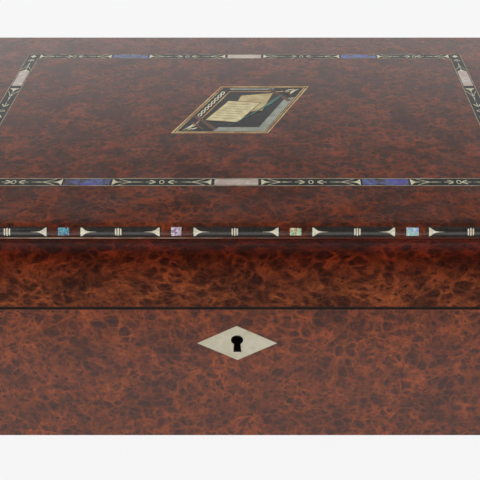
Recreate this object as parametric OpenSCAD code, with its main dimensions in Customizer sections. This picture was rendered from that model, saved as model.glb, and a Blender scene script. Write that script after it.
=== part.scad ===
// Casket with a lever-wound cylinder musical movement.
// Positions are measured from the middle of the case front, at its foot, and place() centres the whole object.

/* [Case] */
// Width of the case body over its two ends
body_w = 322; // [316:1:360]
// Depth of the case body from front to back
body_d = 221; // [218:1:250]
// Height of the case body up to the seam
body_h = 81.6; // [81:0.1:90]
// Thickness of the front, back and end boards
wall_t = 11; // [10:0.5:12]
// Thickness of the base board
base_t = 9; // [7:0.5:9]
// Rounding of the upright outer corners
corner_r = 1.5; // [0.5:0.1:3]
// Width of the left bay, which holds the winding lever
left_bay_w = 38; // [36:1:42]
// Width of the right bay, which holds the control levers
right_bay_w = 26; // [24:1:32]
// Thickness of the two partitions
part_t = 5; // [4:0.5:6]
// Space between a partition top and the case rim
part_drop = 6.6; // [6.3:0.1:7]
// Depth of the ledge that carries the glass lid's hinges
ledge_w = 12; // [10:1:16]
// Height of that ledge
ledge_h = 12; // [9:1:16]

/* [Lid] */
// Height of the lid from the seam to its flat top
lid_h = 48.6; // [46:0.1:56]
// Gap at the seam
lid_gap = 0.5; // [0.4:0.1:0.8]
// Reach of the moulding past the body at the front and the ends
overhang = 8; // [6:0.5:10]
// Thickness of the lid's top panel
panel_t = 10; // [8:0.5:11]
// Rise of the cove under the lip
cove_h = 14.5; // [12:0.5:18]
// Height of the plain lip between the cove and the edging
lip_h = 0.9; // [0.6:0.1:1.5]
// Radius of the rounded edging
edging_r = 4.5; // [3.5:0.1:5]

/* [Inlay] */
// Distance from the body's outline to the middle of the border band
border_margin = 32.4; // [28:0.1:40]
// Width of the border band
border_w = 7.4; // [6:0.1:9]
// Thickness of the inlaid pieces
inlay_t = 0.8; // [0.6:0.1:1.2]
// Width of the centre panel along its front edge
centre_w = 50; // [40:0.5:56]
// Depth of the centre panel
centre_d = 60; // [50:1:68]
// Sideways lean of the centre panel over its depth
centre_lean = 23.2; // [16:0.1:30]
// Offset of the centre panel to the right
centre_off_x = 1.3; // [-4:0.1:4]
// Offset of the centre panel towards the back
centre_off_y = 2.9; // [-4:0.1:4]

/* [Lock] */
// Width of the lozenge escutcheon
lozenge_w = 38; // [34:0.5:42]
// Height of the lozenge escutcheon
lozenge_h = 20.8; // [19:0.1:23]
// Distance of the lozenge's middle below the case rim
lozenge_drop = 20.6; // [20:0.1:22]
// Depth that the escutcheon is let into the front
lozenge_set = 0.5; // [0.4:0.1:0.8]
// Radius of the keyhole's round head
key_r = 2.95; // [2.9:0.05:3.2]
// Width of the key slot at its foot
key_slot_w = 3.9; // [3.4:0.1:4.2]
// Depth of the key slot below the head's middle
key_slot_h = 7.4; // [6.5:0.1:7.6]
// Width of the lock case
lock_w = 46; // [46:1:50]
// Height of the lock case
lock_h = 33.6; // [33:0.2:36]
// Depth of the lock case
lock_d = 8; // [7.8:0.1:8.4]
// Travel of the lock bolt
bolt_travel = 5; // [4.5:0.1:5.2]

/* [Hinges] */
// Length of each lid hinge
hinge_l = 38; // [30:1:50]
// Distance of each lid hinge from the middle of the case
hinge_x = 105; // [80:1:115]
// Radius of the lid hinge knuckles
knuckle_r = 2.5; // [2.2:0.1:3]
// Radius of the lid hinge pins
hinge_pin_r = 1.2; // [1:0.05:1.4]
// Thickness of the hinge leaves
leaf_t = 1.4; // [1.2:0.1:1.6]
// Radius of the glass lid's hinge knuckles
glass_knuckle_r = 1.6; // [1.5:0.05:1.8]
// Length of each glass lid hinge
glass_hinge_l = 20; // [16:1:26]

/* [Glass lid] */
// Width of the glass lid's wooden bars
glass_bar_w = 10; // [8:0.5:12]
// Height of the glass lid's wooden bars
glass_bar_h = 6; // [5.4:0.1:6]
// Thickness of the glass
glass_t = 2.4; // [2:0.1:3]

/* [Movement] */
// Depth of the bedplate from front to back
bed_d = 134; // [132:1:140]
// Thickness of the bedplate
bed_t = 5; // [4:0.5:5]
// Height of the blocks under the bedplate
block_h = 6; // [4:0.5:6]
// Height of the cylinder and barrel axes above the bedplate
axis_h = 28; // [27:0.5:28.5]
// Radius of the pinned cylinder
cylinder_r = 20; // [18:0.5:20.5]
// Wall of the pinned cylinder
cylinder_wall = 2; // [1.5:0.5:3]
// Radius of the cylinder and barrel arbors
arbor_r = 3; // [2.5:0.1:3.2]
// Radius of the barrel drum
barrel_r = 21; // [19:0.5:21.5]
// Length of the barrel drum
barrel_l = 30; // [26:1:32]
// Width of the steel comb
comb_d = 34.7; // [32:0.1:36]
// Thickness of the steel comb
comb_t = 2.4; // [2:0.1:3]
// Number of comb teeth
comb_teeth = 50; // [40:1:56]
// Length of the winding lever
lever_l = 80; // [70:1:82]
// Radius of the winding lever's grip
grip_r = 5; // [4:0.5:6]
// Radius of the fly
fly_r = 8; // [6:0.5:8.5]

/* [Fits] */
// Radial clearance of a shaft in its bearing
run_fit = 0.05; // [0.02:0.01:0.1]
// Clearance between pieces that pass each other
pass_gap = 0.3; // [0.25:0.05:0.4]

/* [Hidden] */
$fn = 48;

// Colours
BURR = "#7d3b24";
EBONY = "#1d1b1c";
PEARL = "#b9b08f";
BRASS = "#b08d4a";
STEEL = "#8f9499";
PINE = "#a9794c";

// Case, worked out from the driving sizes
in_x = body_w / 2 - wall_t;
in_y0 = wall_t;
in_y1 = body_d - wall_t;
part_l_x = -in_x + left_bay_w;
mid_x0 = part_l_x + part_t;
mid_x1 = in_x - right_bay_w - part_t;
part_top = body_h - part_drop;
lid_z0 = body_h + lid_gap;
lid_z1 = lid_z0 + lid_h;
panel_z = lid_z1 - panel_t;
lip_z = lid_z1 - edging_r - lip_h;
cove_r = (cove_h * cove_h + overhang * overhang) / (2 * overhang);
lid_x = body_w / 2 + overhang;
mitre_gap = 0.1;
mitre_cut = 40;
band_x = body_w / 2 - border_margin;
band_y0 = border_margin;
band_y1 = body_d - border_margin;

// Lid hinge: its axis lies just behind the case, at the seam
hinge_y = body_d + knuckle_r + 0.2;
hinge_z = body_h + lid_gap / 2;
knuckles = 5;
leaf_w = 8;
front_y = -(hinge_y + knuckle_r - overhang) / 2;

// Glass lid
glass_z0 = part_top + pass_gap;
glass_z1 = glass_z0 + glass_bar_h;
ledge_y = in_y1 - ledge_w;
glass_y0 = in_y0 + 1;
glass_y1 = ledge_y - 2 * pass_gap;
glass_x0 = mid_x0 - part_t + 1;
glass_x1 = mid_x1 + part_t - 1;
glass_axis_y = ledge_y - pass_gap;
glass_axis_z = glass_z1 + 1;
glass_pin_r = 0.7;
glass_leaf_t = 0.8;
glass_leaf_w = 6;
glass_hinge_off = (glass_x1 - glass_x0) / 4;
glass_mid_x = (glass_x0 + glass_x1) / 2;
rebate = 3;

// Lock
lock_wall = 1;
lock_y0 = wall_t - lock_d;
lock_z0 = body_h - lock_h;
lozenge_z = body_h - lozenge_drop;
key_z = lozenge_z + 2;
staple_x = 12;
staple_t = 3;
staple_z0 = body_h - 8;
staple_y = lock_y0 + lock_d / 2;
staple_w = 4.8;
tongue_w = 1.6;
tongue_h = 2.8;
tongue_z = staple_z0 + 3.4;
tongue_l = bolt_travel + 0.2;
tongue_gap = 0.5;
post_w = 2.4;
bolt_bar_h = 4;
bolt_bar_z = tongue_z - 8;
staple_play = 0.6;
link_plate_x = 20;
link_plate_y = 3;

// Movement: heights and shaft positions
bed_x0 = mid_x0 + 4;
bed_x1 = mid_x1 - 4;
bed_y0 = (body_d - bed_d) / 2;
bed_z = base_t + block_h;
bed_top = bed_z + bed_t;
axis_z = bed_top + axis_h;
cyl_y = bed_y0 + 66;
bridge_t = 4;
side_gap = 1;

// Bedplate bolts: one near each corner, over a block of wood
bolt_inset = 5.5;
bolt_r = 2;
bolt_head_r = 4;
bolt_head_h = 2.6;
bolt_spots = [for (x = [bed_x0 + bolt_inset, bed_x1 - bolt_inset])
    for (y = [bed_y0 + bolt_inset, bed_y0 + bed_d - bolt_inset]) [x, y]];
screw_slot_w = 1;

// Gears: teeth and modules of each pair
pressure = 20;
tooth_thin = 0.74;
tooth_top = 0.85;
tooth_root = 1.1;
drum_teeth = 48;
pinion_teeth = 16;
drum_mod = 1;
cyl_teeth = 56;
first_pinion = 10;
cyl_mod = 0.75;
first_teeth = 40;
second_pinion = 10;
first_mod = 0.6;
worm_teeth = 24;
worm_mod = 0.7;
worm_lead = PI * worm_mod;
worm_core = 1.75;
worm_wave = 0.5;

barrel_y = cyl_y + drum_mod * (drum_teeth + pinion_teeth) / 2;
mesh_fall = -20;
first_off = cyl_mod * (cyl_teeth + first_pinion) / 2;
first_y = cyl_y + first_off * cos(mesh_fall);
first_z = axis_z + first_off * sin(mesh_fall);
second_y = first_y + first_mod * (first_teeth + second_pinion) / 2;
worm_root_gap = 0.3;
worm_tip_r = worm_mod * worm_teeth / 2 + 0.35;
worm_y = second_y + worm_tip_r + worm_core - worm_wave + worm_root_gap;

// Movement: places along the cylinder, from the left and from the right
left_bridge_x = bed_x0 + 4;
cap_t = 2;
cap_x = left_bridge_x + bridge_t + side_gap;
drum_x = cap_x + cap_t;
drum_wheel_t = 5;
drum_wheel_x = drum_x + barrel_l;
middle_bridge_x = drum_wheel_x + drum_wheel_t + 3;
cyl_x0 = middle_bridge_x + bridge_t + 4;
gov_x1 = bed_x1 - 10;
gov_t = 2;
worm_x = gov_x1 - 5.3;
worm_wheel_t = 2.4;
first_wheel_x = worm_x - 6.7;
first_wheel_t = 2;
cyl_wheel_x = worm_x - 13.7;
cyl_wheel_t = 4;
gov_x0 = worm_x - 20.2;
cyl_x1 = gov_x0 - 3.5;
bracket_x = first_wheel_x;
bracket_t = 3;
pivot_r = 1;
gov_base_t = 2;
gov_top = first_z + 10.5;
gov_y0 = first_y - 7;
gov_y1 = worm_y + 13;
gov_end_y = second_y + 6;
worm_l = 5.5 * worm_lead;
worm_z = first_z - worm_l / 2;
foot_h = 1.6;
cock_z = gov_top + 16;
cock_t = 3;
cock_w = 7;
wing_t = 0.3;
wing_z = gov_top + 3.5;
wing_h = 8;

// Comb
tip_gap = 1.8;
comb_y1 = cyl_y - cylinder_r - tip_gap;
comb_y0 = comb_y1 - comb_d;
comb_x0 = cyl_x0 + 3;
comb_x1 = cyl_x1 - 3;
comb_top = axis_z + 0.6;
comb_z = comb_top - comb_t;
comb_seat = 14;
slit_w = 0.7;
comb_screw_n = 7;
comb_screw_r = 1.5;
comb_screw_y = comb_y0 + comb_seat / 2;
comb_screw_h = 7;
comb_head_r = 2.7;
comb_head_h = 1.8;

// Barrel, ratchets and lever
core_r = 6;
drum_wall = 1.6;
spring_t = 0.7;
spring_turns = 5;
arbor_x0 = part_l_x - 24;
ratchet_t = 3;
ratchet_r = 12;
ratchet_teeth = 18;
ratchet_x = left_bridge_x - ratchet_t - 1.5;
lever_ratchet_x = part_l_x - 1.5 - ratchet_t;
lever_hub_r = 8;
lever_t = 3.4;
lever_x = part_l_x - left_bay_w / 2 - lever_t / 2;
lever_hub_t = lever_ratchet_x - 1 - lever_x;
lever_boss = 0.6;
lever_fall = 10;
lever_w = 8;
grip_l = 26;
grip_tang = 2;
pawl_pivot = 20;
pawl_stud_r = 2;
click_reach = ratchet_r + 5;
click_stud_r = 1.5;
pawl_r = 3;
pawl_gap = 0.2;
click_angle = 205;

// Control levers
plate_t = 2;
plate_x = mid_x1 + part_t;
ctl_z = bed_top + 20;
ctl_lever_x = plate_x + plate_t + 1;
ctl_lever_t = 2.4;
ctl_shaft_r = 2;
ctl_arm_x = mid_x1 - 10;
ctl_arm_t = 2;
ctl_len = 30;
ctl_arm_len = 17;
ctl_sweep = 18;
start_y = worm_y;
change_y = cyl_y - 18;
knob_r = 3.4;

module place() {
    translate([0, front_y, 0]) children();
}

// A box from its lowest and highest corners
module block(a, b) {
    translate(a) cube(b - a);
}

// A round bar along X
module bar_x(r, x0, x1, y, z) {
    translate([x0, y, z]) rotate([0, 90, 0]) cylinder(r = r, h = x1 - x0);
}

// A flat outline in Y and Z, carried along X
module slab_x(x0, t, y, z) {
    translate([x0, y, z]) rotate([90, 0, 90]) linear_extrude(t) children();
}

// Points on an arc, from angle a0 to a1
function arc(c, r, a0, a1, n = 8) =
    [for (i = [0:n]) let (a = a0 + (a1 - a0) * i / n) [c[0] + r * cos(a), c[1] + r * sin(a)]];

// ---- Gears -------------------------------------------------------------
function inv_deg(a) = tan(a) * 180 / PI - a;
function tooth_half(teeth, base, r) =
    90 / teeth * tooth_thin + inv_deg(pressure) - inv_deg(acos(min(1, base / r)));
function polar(r, a) = [r * cos(a), r * sin(a)];

// Outline of a wheel with involute teeth, one tooth pointing along angle 0
module gear_outline(teeth, mod) {
    pitch_r = teeth * mod / 2;
    base = pitch_r * cos(pressure);
    root = pitch_r - tooth_root * mod;
    tip = pitch_r + tooth_top * mod;
    flank = [root, max(base, root) + 0.02, pitch_r + 0.25 * mod, tip];
    half = [for (r = flank) tooth_half(teeth, base, max(r, base))];
    polygon([for (i = [0:teeth - 1]) let (a = i * 360 / teeth)
        each concat([for (k = [0:3]) polar(flank[k], a - half[k])],
                    [for (k = [3:-1:0]) polar(flank[k], a + half[k])])]);
}

// Outline of the wheel that the endless screw drives
module worm_wheel_outline() {
    root = worm_tip_r - 1.25;
    step = 360 / worm_teeth;
    polygon([for (i = [0:worm_teeth - 1]) let (a = i * step)
        each [polar(root, a - step * 0.24), polar(worm_tip_r, a - step * 0.1),
              polar(worm_tip_r, a + step * 0.1), polar(root, a + step * 0.24)]]);
}

// Outline of a ratchet wheel
module ratchet_outline() {
    step = 360 / ratchet_teeth;
    polygon([for (i = [0:ratchet_teeth - 1])
        each [polar(ratchet_r, i * step), polar(ratchet_r - 1.8, i * step + 1)]]);
}

// ---- Case --------------------------------------------------------------
// A full-width board with its two outer corners rounded; the outer face lies at y = 0
module board_outline(t) {
    w = body_w / 2;
    r = corner_r;
    polygon(concat([[w, t]], [[-w, t]], arc([-w + r, r], r, 180, 270, 4), arc([w - r, r], r, 270, 360, 4)));
}

// The keyhole: a round head over a slot that widens towards its foot
module keyhole_outline(grow = 0) {
    circle(r = key_r + grow);
    polygon([[-key_r * 0.54 - grow, 0], [key_r * 0.54 + grow, 0],
             [key_slot_w / 2 + grow, -key_slot_h - grow], [-key_slot_w / 2 - grow, -key_slot_h - grow]]);
}

// The keyhole carried inwards from the front
module keyhole(y0, y1) {
    translate([0, y1, key_z]) rotate([90, 0, 0]) linear_extrude(y1 - y0) keyhole_outline();
}

module lozenge(y0, y1) {
    translate([0, y1, lozenge_z]) rotate([90, 0, 0]) linear_extrude(y1 - y0)
        polygon([[-lozenge_w / 2, 0], [0, -lozenge_h / 2], [lozenge_w / 2, 0], [0, lozenge_h / 2]]);
}

module base_board() {
    color(PINE) block([-in_x, in_y0, 0], [in_x, in_y1, base_t]);
}

module front_board() {
    color(BURR) difference() {
        linear_extrude(body_h) board_outline(wall_t);
        block([-lock_w / 2 - 0.2, lock_y0 - 0.2, lock_z0 - 0.2], [lock_w / 2 + 0.2, wall_t + 1, body_h + 1]);
        lozenge(-1, lozenge_set);
        keyhole(-1, wall_t);
    }
}

module back_board() {
    color(BURR) difference() {
        translate([0, body_d, 0]) mirror([0, 1, 0]) linear_extrude(body_h) board_outline(wall_t);
        leaf_seats(body_h - leaf_t, body_h + 1);
    }
}

module end_board(side) {
    x = side * body_w / 2;
    color(BURR) block([min(x, x - side * wall_t), in_y0, 0], [max(x, x - side * wall_t), in_y1, body_h]);
}

module left_end() {
    end_board(-1);
}

module right_end() {
    end_board(1);
}

module left_partition() {
    color(PINE) difference() {
        block([part_l_x, in_y0, base_t], [mid_x0, in_y1, part_top]);
        bar_x(core_r, part_l_x - 1, mid_x0 + 1, barrel_y, axis_z);
    }
}

module right_partition() {
    color(PINE) difference() {
        block([mid_x1, in_y0, base_t], [mid_x1 + part_t, in_y1, part_top]);
        for (y = [start_y, change_y])
            bar_x(ctl_shaft_r + 1, mid_x1 - 1, mid_x1 + part_t + 1, y, ctl_z);
    }
}

module back_ledge() {
    color(PINE) difference() {
        block([mid_x0, ledge_y, glass_z1 - ledge_h], [mid_x1, in_y1, glass_z1]);
        for (s = [-1, 1])
            ledge_leaf_block(glass_mid_x + s * glass_hinge_off);
    }
}

// ---- Lock --------------------------------------------------------------
module escutcheon() {
    color(PEARL) difference() {
        lozenge(-0.2, lozenge_set);
        keyhole(-1, wall_t);
    }
}

module lock_case() {
    hx = lock_w / 2;
    color(BRASS) difference() {
        block([-hx, lock_y0, lock_z0], [hx, wall_t, body_h]);
        block([-hx + lock_wall, lock_y0 + lock_wall, lock_z0 + lock_wall],
              [hx - lock_wall, wall_t - lock_wall, body_h - lock_wall]);
        keyhole(lock_y0 - 1, lock_y0 + lock_wall + 1);
        for (s = [-1, 1])
            block([s * staple_x - staple_t / 2 - staple_play, lock_y0 + lock_wall, body_h - lock_wall - 1],
                  [s * staple_x + staple_t / 2 + staple_play, wall_t - lock_wall, body_h + 1]);
    }
}

// A bar guided between the lock case's plates, with two tongues that rest just left of the staples
module lock_bolt() {
    y0 = staple_y - tongue_w / 2;
    y1 = staple_y + tongue_w / 2;
    tips = [for (s = [-1, 1]) s * staple_x - staple_t / 2 - tongue_gap];
    color(STEEL) {
        block([tips[0] - tongue_l - post_w, lock_y0 + lock_wall + pass_gap, bolt_bar_z],
              [tips[1] - tongue_l, wall_t - lock_wall - pass_gap, bolt_bar_z + bolt_bar_h]);
        for (tip = tips) {
            block([tip - tongue_l - post_w, y0, bolt_bar_z + bolt_bar_h],
                  [tip - tongue_l, y1, tongue_z + tongue_h / 2]);
            block([tip - tongue_l, y0, tongue_z - tongue_h / 2], [tip, y1, tongue_z + tongue_h / 2]);
        }
    }
}

// The link plate's own block, from z0 up
module link_plate_block(z0) {
    block([-link_plate_x, staple_y - link_plate_y, z0], [link_plate_x, staple_y + link_plate_y, lid_z0 + leaf_t]);
}

module lock_link_plate() {
    color(BRASS) {
        link_plate_block(lid_z0);
        for (s = [-1, 1]) difference() {
            block([s * staple_x - staple_t / 2, staple_y - staple_w / 2, staple_z0],
                  [s * staple_x + staple_t / 2, staple_y + staple_w / 2, lid_z0]);
            block([s * staple_x - staple_t, staple_y - tongue_w / 2 - pass_gap, tongue_z - tongue_h / 2 - tongue_gap],
                  [s * staple_x + staple_t, staple_y + tongue_w / 2 + pass_gap, tongue_z + tongue_h / 2 + tongue_gap]);
        }
    }
}

// ---- Lid hinges --------------------------------------------------------
module leaf_seats(z0, z1) {
    for (s = [-1, 1])
        block([s * hinge_x - hinge_l / 2, body_d - leaf_w, z0], [s * hinge_x + hinge_l / 2, body_d + 1, z1]);
}

// One leaf with every second knuckle; first is 0 or 1
module hinge_leaf(x, z0, first) {
    step = hinge_l / knuckles;
    x0 = x - hinge_l / 2;
    block([x0, body_d - leaf_w, z0], [x0 + hinge_l, body_d - 0.1, z0 + leaf_t]);
    for (i = [first:2:knuckles - 1]) difference() {
        union() {
            bar_x(knuckle_r, x0 + i * step + 0.15, x0 + (i + 1) * step - 0.15, hinge_y, hinge_z);
            block([x0 + i * step + 0.15, body_d - 0.1, z0], [x0 + (i + 1) * step - 0.15, hinge_y, z0 + leaf_t]);
        }
        bar_x(hinge_pin_r + run_fit, x0 - 1, x0 + hinge_l + 1, hinge_y, hinge_z);
    }
}

module case_hinge_leaves() {
    color(BRASS) for (s = [-1, 1])
        hinge_leaf(s * hinge_x, body_h - leaf_t, 0);
}

module lid_hinge_leaves() {
    color(BRASS) for (s = [-1, 1])
        hinge_leaf(s * hinge_x, lid_z0, 1);
}

module hinge_pins() {
    color(STEEL) for (s = [-1, 1])
        bar_x(hinge_pin_r, s * hinge_x - hinge_l / 2, s * hinge_x + hinge_l / 2, hinge_y, hinge_z);
}

// ---- Lid ---------------------------------------------------------------
// Outline of a moulded rail, with u outwards from the body's face and v upwards
module rail_outline() {
    cove_z = lip_z - cove_h;
    sweep = asin(cove_h / cove_r);
    polygon(concat([[0, lid_z0]],
        arc([cove_r, cove_z], cove_r, 180, 180 - sweep, 12),
        [[overhang, lip_z + lip_h], [overhang - edging_r, lip_z + lip_h], [overhang - edging_r, lid_z1],
         [0, lid_z1], [0, panel_z], [-wall_t, panel_z], [-wall_t, lid_z0]]));
}

module edging_outline() {
    translate([overhang - edging_r, lip_z + lip_h]) intersection() {
        circle(r = edging_r);
        square(edging_r);
    }
}

// Carries an outline along the front, mitred at both ends
module along_front() {
    reach = lid_x + 1;
    intersection() {
        translate([reach, 0, 0]) rotate([90, 0, -90]) linear_extrude(2 * reach) children();
        translate([0, 0, lid_z0 - 1]) linear_extrude(lid_h + 2)
            polygon([[-reach, -overhang - 1], [reach, -overhang - 1],
                     [reach - mitre_cut, mitre_cut - overhang - 1], [mitre_cut - reach, mitre_cut - overhang - 1]]);
    }
}

// Carries an outline along the right end, mitred at the front
module along_right(gap) {
    reach = lid_x + 1;
    intersection() {
        translate([body_w / 2, body_d, 0]) rotate([90, 0, 0]) linear_extrude(body_d + overhang + 1) children();
        translate([0, 0, lid_z0 - 1]) linear_extrude(lid_h + 2)
            polygon([[reach, gap - overhang - 1], [reach, body_d + 1], [reach - mitre_cut, body_d + 1],
                     [reach - mitre_cut, mitre_cut + gap - overhang - 1]]);
    }
}

// The same along either end; side is -1 for the left and 1 for the right
module along_end(side, gap = 0) {
    if (side > 0) along_right(gap) children();
    else mirror([1, 0, 0]) along_right(gap) children();
}

module band_outline(grow) {
    e = border_w / 2 + grow;
    translate([-band_x - e, band_y0 - e]) square([2 * band_x + 2 * e, band_y1 - band_y0 + 2 * e]);
}

module border_outline() {
    difference() {
        band_outline(0);
        band_outline(-border_w);
    }
}

module centre_outline() {
    translate([centre_off_x, body_d / 2 + centre_off_y]) polygon([
        [-centre_w / 2 - centre_lean / 2, -centre_d / 2], [centre_w / 2 - centre_lean / 2, -centre_d / 2],
        [centre_w / 2 + centre_lean / 2, centre_d / 2], [-centre_w / 2 + centre_lean / 2, centre_d / 2]]);
}

module lid_panel() {
    color(BURR) difference() {
        block([-body_w / 2, 0, panel_z], [body_w / 2, body_d, lid_z1]);
        translate([0, 0, lid_z1 - inlay_t]) linear_extrude(inlay_t + 1) {
            border_outline();
            centre_outline();
        }
    }
}

module lid_front_rail() {
    color(BURR) difference() {
        along_front() rail_outline();
        link_plate_block(lid_z0 - 1);
    }
}

module lid_left_rail() {
    color(BURR) along_end(-1) rail_outline();
}

module lid_right_rail() {
    color(BURR) along_end(1) rail_outline();
}

module lid_back_rail() {
    color(BURR) difference() {
        block([-in_x, in_y1, lid_z0], [in_x, body_d, panel_z]);
        leaf_seats(lid_z0 - 1, lid_z0 + leaf_t);
    }
}

module lid_edging() {
    color(EBONY) {
        along_front() edging_outline();
        for (s = [-1, 1])
            along_end(s, mitre_gap) edging_outline();
    }
}

module lid_border_inlay() {
    color(EBONY) translate([0, 0, lid_z1 - inlay_t]) linear_extrude(inlay_t) border_outline();
}

module lid_centre_panel() {
    color(PEARL) translate([0, 0, lid_z1 - inlay_t]) linear_extrude(inlay_t) centre_outline();
}

// ---- Glass lid ---------------------------------------------------------
module glass_frame() {
    b = glass_bar_w;
    color(EBONY) difference() {
        block([glass_x0, glass_y0, glass_z0], [glass_x1, glass_y1, glass_z1]);
        block([glass_x0 + b, glass_y0 + b, glass_z0 - 1], [glass_x1 - b, glass_y1 - b, glass_z1 + 1]);
        block([glass_x0 + b - rebate, glass_y0 + b - rebate, glass_z0 - 1],
              [glass_x1 - b + rebate, glass_y1 - b + rebate, glass_z0 + glass_t + 0.6]);
        for (s = [-1, 1])
            frame_leaf_block(glass_mid_x + s * glass_hinge_off);
    }
}

module glass_pane() {
    b = glass_bar_w - rebate;
    color("#bcd3d1", 0.35) block([glass_x0 + b, glass_y0 + b, glass_z0 + 0.6],
        [glass_x1 - b, glass_y1 - b, glass_z0 + glass_t + 0.6]);
}

module glass_knob() {
    y = glass_y0 + glass_bar_w / 2;
    color(BRASS) translate([glass_mid_x, y, glass_z1]) {
        cylinder(r = 1.6, h = 2);
        translate([0, 0, 2]) cylinder(r = 3.2, h = 3);
    }
}

module ledge_leaf_block(x) {
    block([x - glass_hinge_l / 2, ledge_y - 1, glass_z1 - glass_leaf_t],
          [x + glass_hinge_l / 2, ledge_y + glass_leaf_w, glass_z1 + 1]);
}

module frame_leaf_block(x) {
    block([x - glass_hinge_l / 2, glass_y1 - glass_leaf_w, glass_z1 - glass_leaf_t],
          [x + glass_hinge_l / 2, glass_y1 + 1, glass_z1 + 1]);
}

// One knuckle from x0 to x1, with a tab down to its leaf between y0 and y1
module glass_knuckle(x0, x1, y0, y1, pinned) {
    difference() {
        union() {
            bar_x(glass_knuckle_r, x0, x1, glass_axis_y, glass_axis_z);
            block([x0, y0, glass_z1 - glass_leaf_t], [x1, y1, glass_axis_z]);
        }
        if (!pinned)
            bar_x(glass_pin_r + run_fit, x0 - 1, x1 + 1, glass_axis_y, glass_axis_z);
    }
}

module glass_hinge_leaves() {
    third = glass_hinge_l / 3;
    edge = glass_axis_y - glass_knuckle_r;
    color(BRASS) for (s = [-1, 1]) {
        x = glass_mid_x + s * glass_hinge_off;
        block([x - glass_hinge_l / 2, glass_y1 - glass_leaf_w, glass_z1 - glass_leaf_t],
              [x + glass_hinge_l / 2, edge - 0.2, glass_z1]);
        glass_knuckle(x - third / 2 + 0.15, x + third / 2 - 0.15, edge - 0.2, glass_axis_y - 0.1, false);
    }
}

module ledge_hinge_leaves() {
    third = glass_hinge_l / 3;
    edge = glass_axis_y + glass_knuckle_r;
    color(BRASS) for (s = [-1, 1]) {
        x = glass_mid_x + s * glass_hinge_off;
        block([x - glass_hinge_l / 2, edge + 0.2, glass_z1 - glass_leaf_t],
              [x + glass_hinge_l / 2, ledge_y + glass_leaf_w, glass_z1]);
        glass_knuckle(x - glass_hinge_l / 2, x - third / 2 - 0.15, glass_axis_y + 0.1, edge + 0.2, true);
        glass_knuckle(x + third / 2 + 0.15, x + glass_hinge_l / 2, glass_axis_y + 0.1, edge + 0.2, true);
        bar_x(glass_pin_r, x - third, x + third, glass_axis_y, glass_axis_z);
    }
}

// ---- Bedplate and comb ---------------------------------------------------
module bedplate() {
    color(BRASS) difference() {
        block([bed_x0, bed_y0, bed_z], [bed_x1, bed_y0 + bed_d, bed_top]);
        for (p = bolt_spots)
            translate([p[0], p[1], bed_z - 1]) cylinder(r = bolt_r + run_fit, h = bed_t + 2);
    }
}

module bedplate_blocks() {
    color(PINE) for (p = bolt_spots) difference() {
        block([p[0] - bolt_inset, p[1] - bolt_inset, base_t], [p[0] + bolt_inset, p[1] + bolt_inset, bed_z]);
        translate([p[0], p[1], base_t + 1]) cylinder(r = bolt_r + run_fit, h = block_h);
    }
}

module bedplate_bolts() {
    color(STEEL) for (p = bolt_spots) translate([p[0], p[1], 0]) difference() {
        union() {
            translate([0, 0, base_t + 1.5]) cylinder(r = bolt_r, h = bed_top - base_t - 1.5);
            translate([0, 0, bed_top]) cylinder(r = bolt_head_r, h = bolt_head_h);
        }
        block([-bolt_head_r - 1, -screw_slot_w / 2, bed_top + bolt_head_h - 1],
              [bolt_head_r + 1, screw_slot_w / 2, bed_top + bolt_head_h + 1]);
    }
}

function comb_screw_at(i) = comb_x0 + (comb_x1 - comb_x0) * (i + 0.5) / comb_screw_n;

module comb_base() {
    color(BRASS) difference() {
        block([comb_x0, comb_y0, bed_top], [comb_x1, comb_y0 + comb_seat, comb_z]);
        for (i = [0:comb_screw_n - 1])
            translate([comb_screw_at(i), comb_screw_y, comb_z - comb_screw_h])
                cylinder(r = comb_screw_r + run_fit, h = comb_screw_h + 1);
    }
}

module comb() {
    pitch = (comb_x1 - comb_x0) / comb_teeth;
    color(STEEL) difference() {
        block([comb_x0, comb_y0, comb_z], [comb_x1, comb_y1, comb_top]);
        for (i = [1:comb_teeth - 1])
            block([comb_x0 + i * pitch - slit_w / 2, comb_y0 + comb_seat + 1.5, comb_z - 1],
                  [comb_x0 + i * pitch + slit_w / 2, comb_y1 + 1, comb_top + 1]);
        for (i = [0:comb_screw_n - 1])
            translate([comb_screw_at(i), comb_screw_y, comb_z - 1])
                cylinder(r = comb_screw_r + run_fit, h = comb_t + 2);
    }
}

module comb_screws() {
    color(STEEL) for (i = [0:comb_screw_n - 1])
        translate([comb_screw_at(i), comb_screw_y, 0]) difference() {
            union() {
                translate([0, 0, comb_z - comb_screw_h + 0.5]) cylinder(r = comb_screw_r,
                    h = comb_top - comb_z + comb_screw_h - 0.5);
                translate([0, 0, comb_top]) cylinder(r = comb_head_r, h = comb_head_h);
            }
            block([-comb_head_r - 1, -slit_w / 2, comb_top + comb_head_h - 0.7],
                  [comb_head_r + 1, slit_w / 2, comb_top + comb_head_h + 1]);
        }
}

// ---- Cylinder ------------------------------------------------------------
module tube_x(r_out, r_in, x0, x1, y, z) {
    difference() {
        bar_x(r_out, x0, x1, y, z);
        bar_x(r_in, x0 - 1, x1 + 1, y, z);
    }
}

module pin_cylinder() {
    $fn = 96;
    color(BRASS) tube_x(cylinder_r, cylinder_r - cylinder_wall, cyl_x0, cyl_x1, cyl_y, axis_z);
}

module cylinder_filling() {
    color("#5a3f33") tube_x(cylinder_r - cylinder_wall, arbor_r, cyl_x0 + cap_t, cyl_x1 - cap_t, cyl_y, axis_z);
}

module cylinder_caps() {
    color(BRASS) for (x = [cyl_x0, cyl_x1 - cap_t])
        tube_x(cylinder_r - cylinder_wall, arbor_r, x, x + cap_t, cyl_y, axis_z);
}

module cylinder_arbor() {
    color(STEEL) bar_x(arbor_r, drum_wheel_x - 1, bracket_x + bracket_t + 2, cyl_y, axis_z);
}

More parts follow.
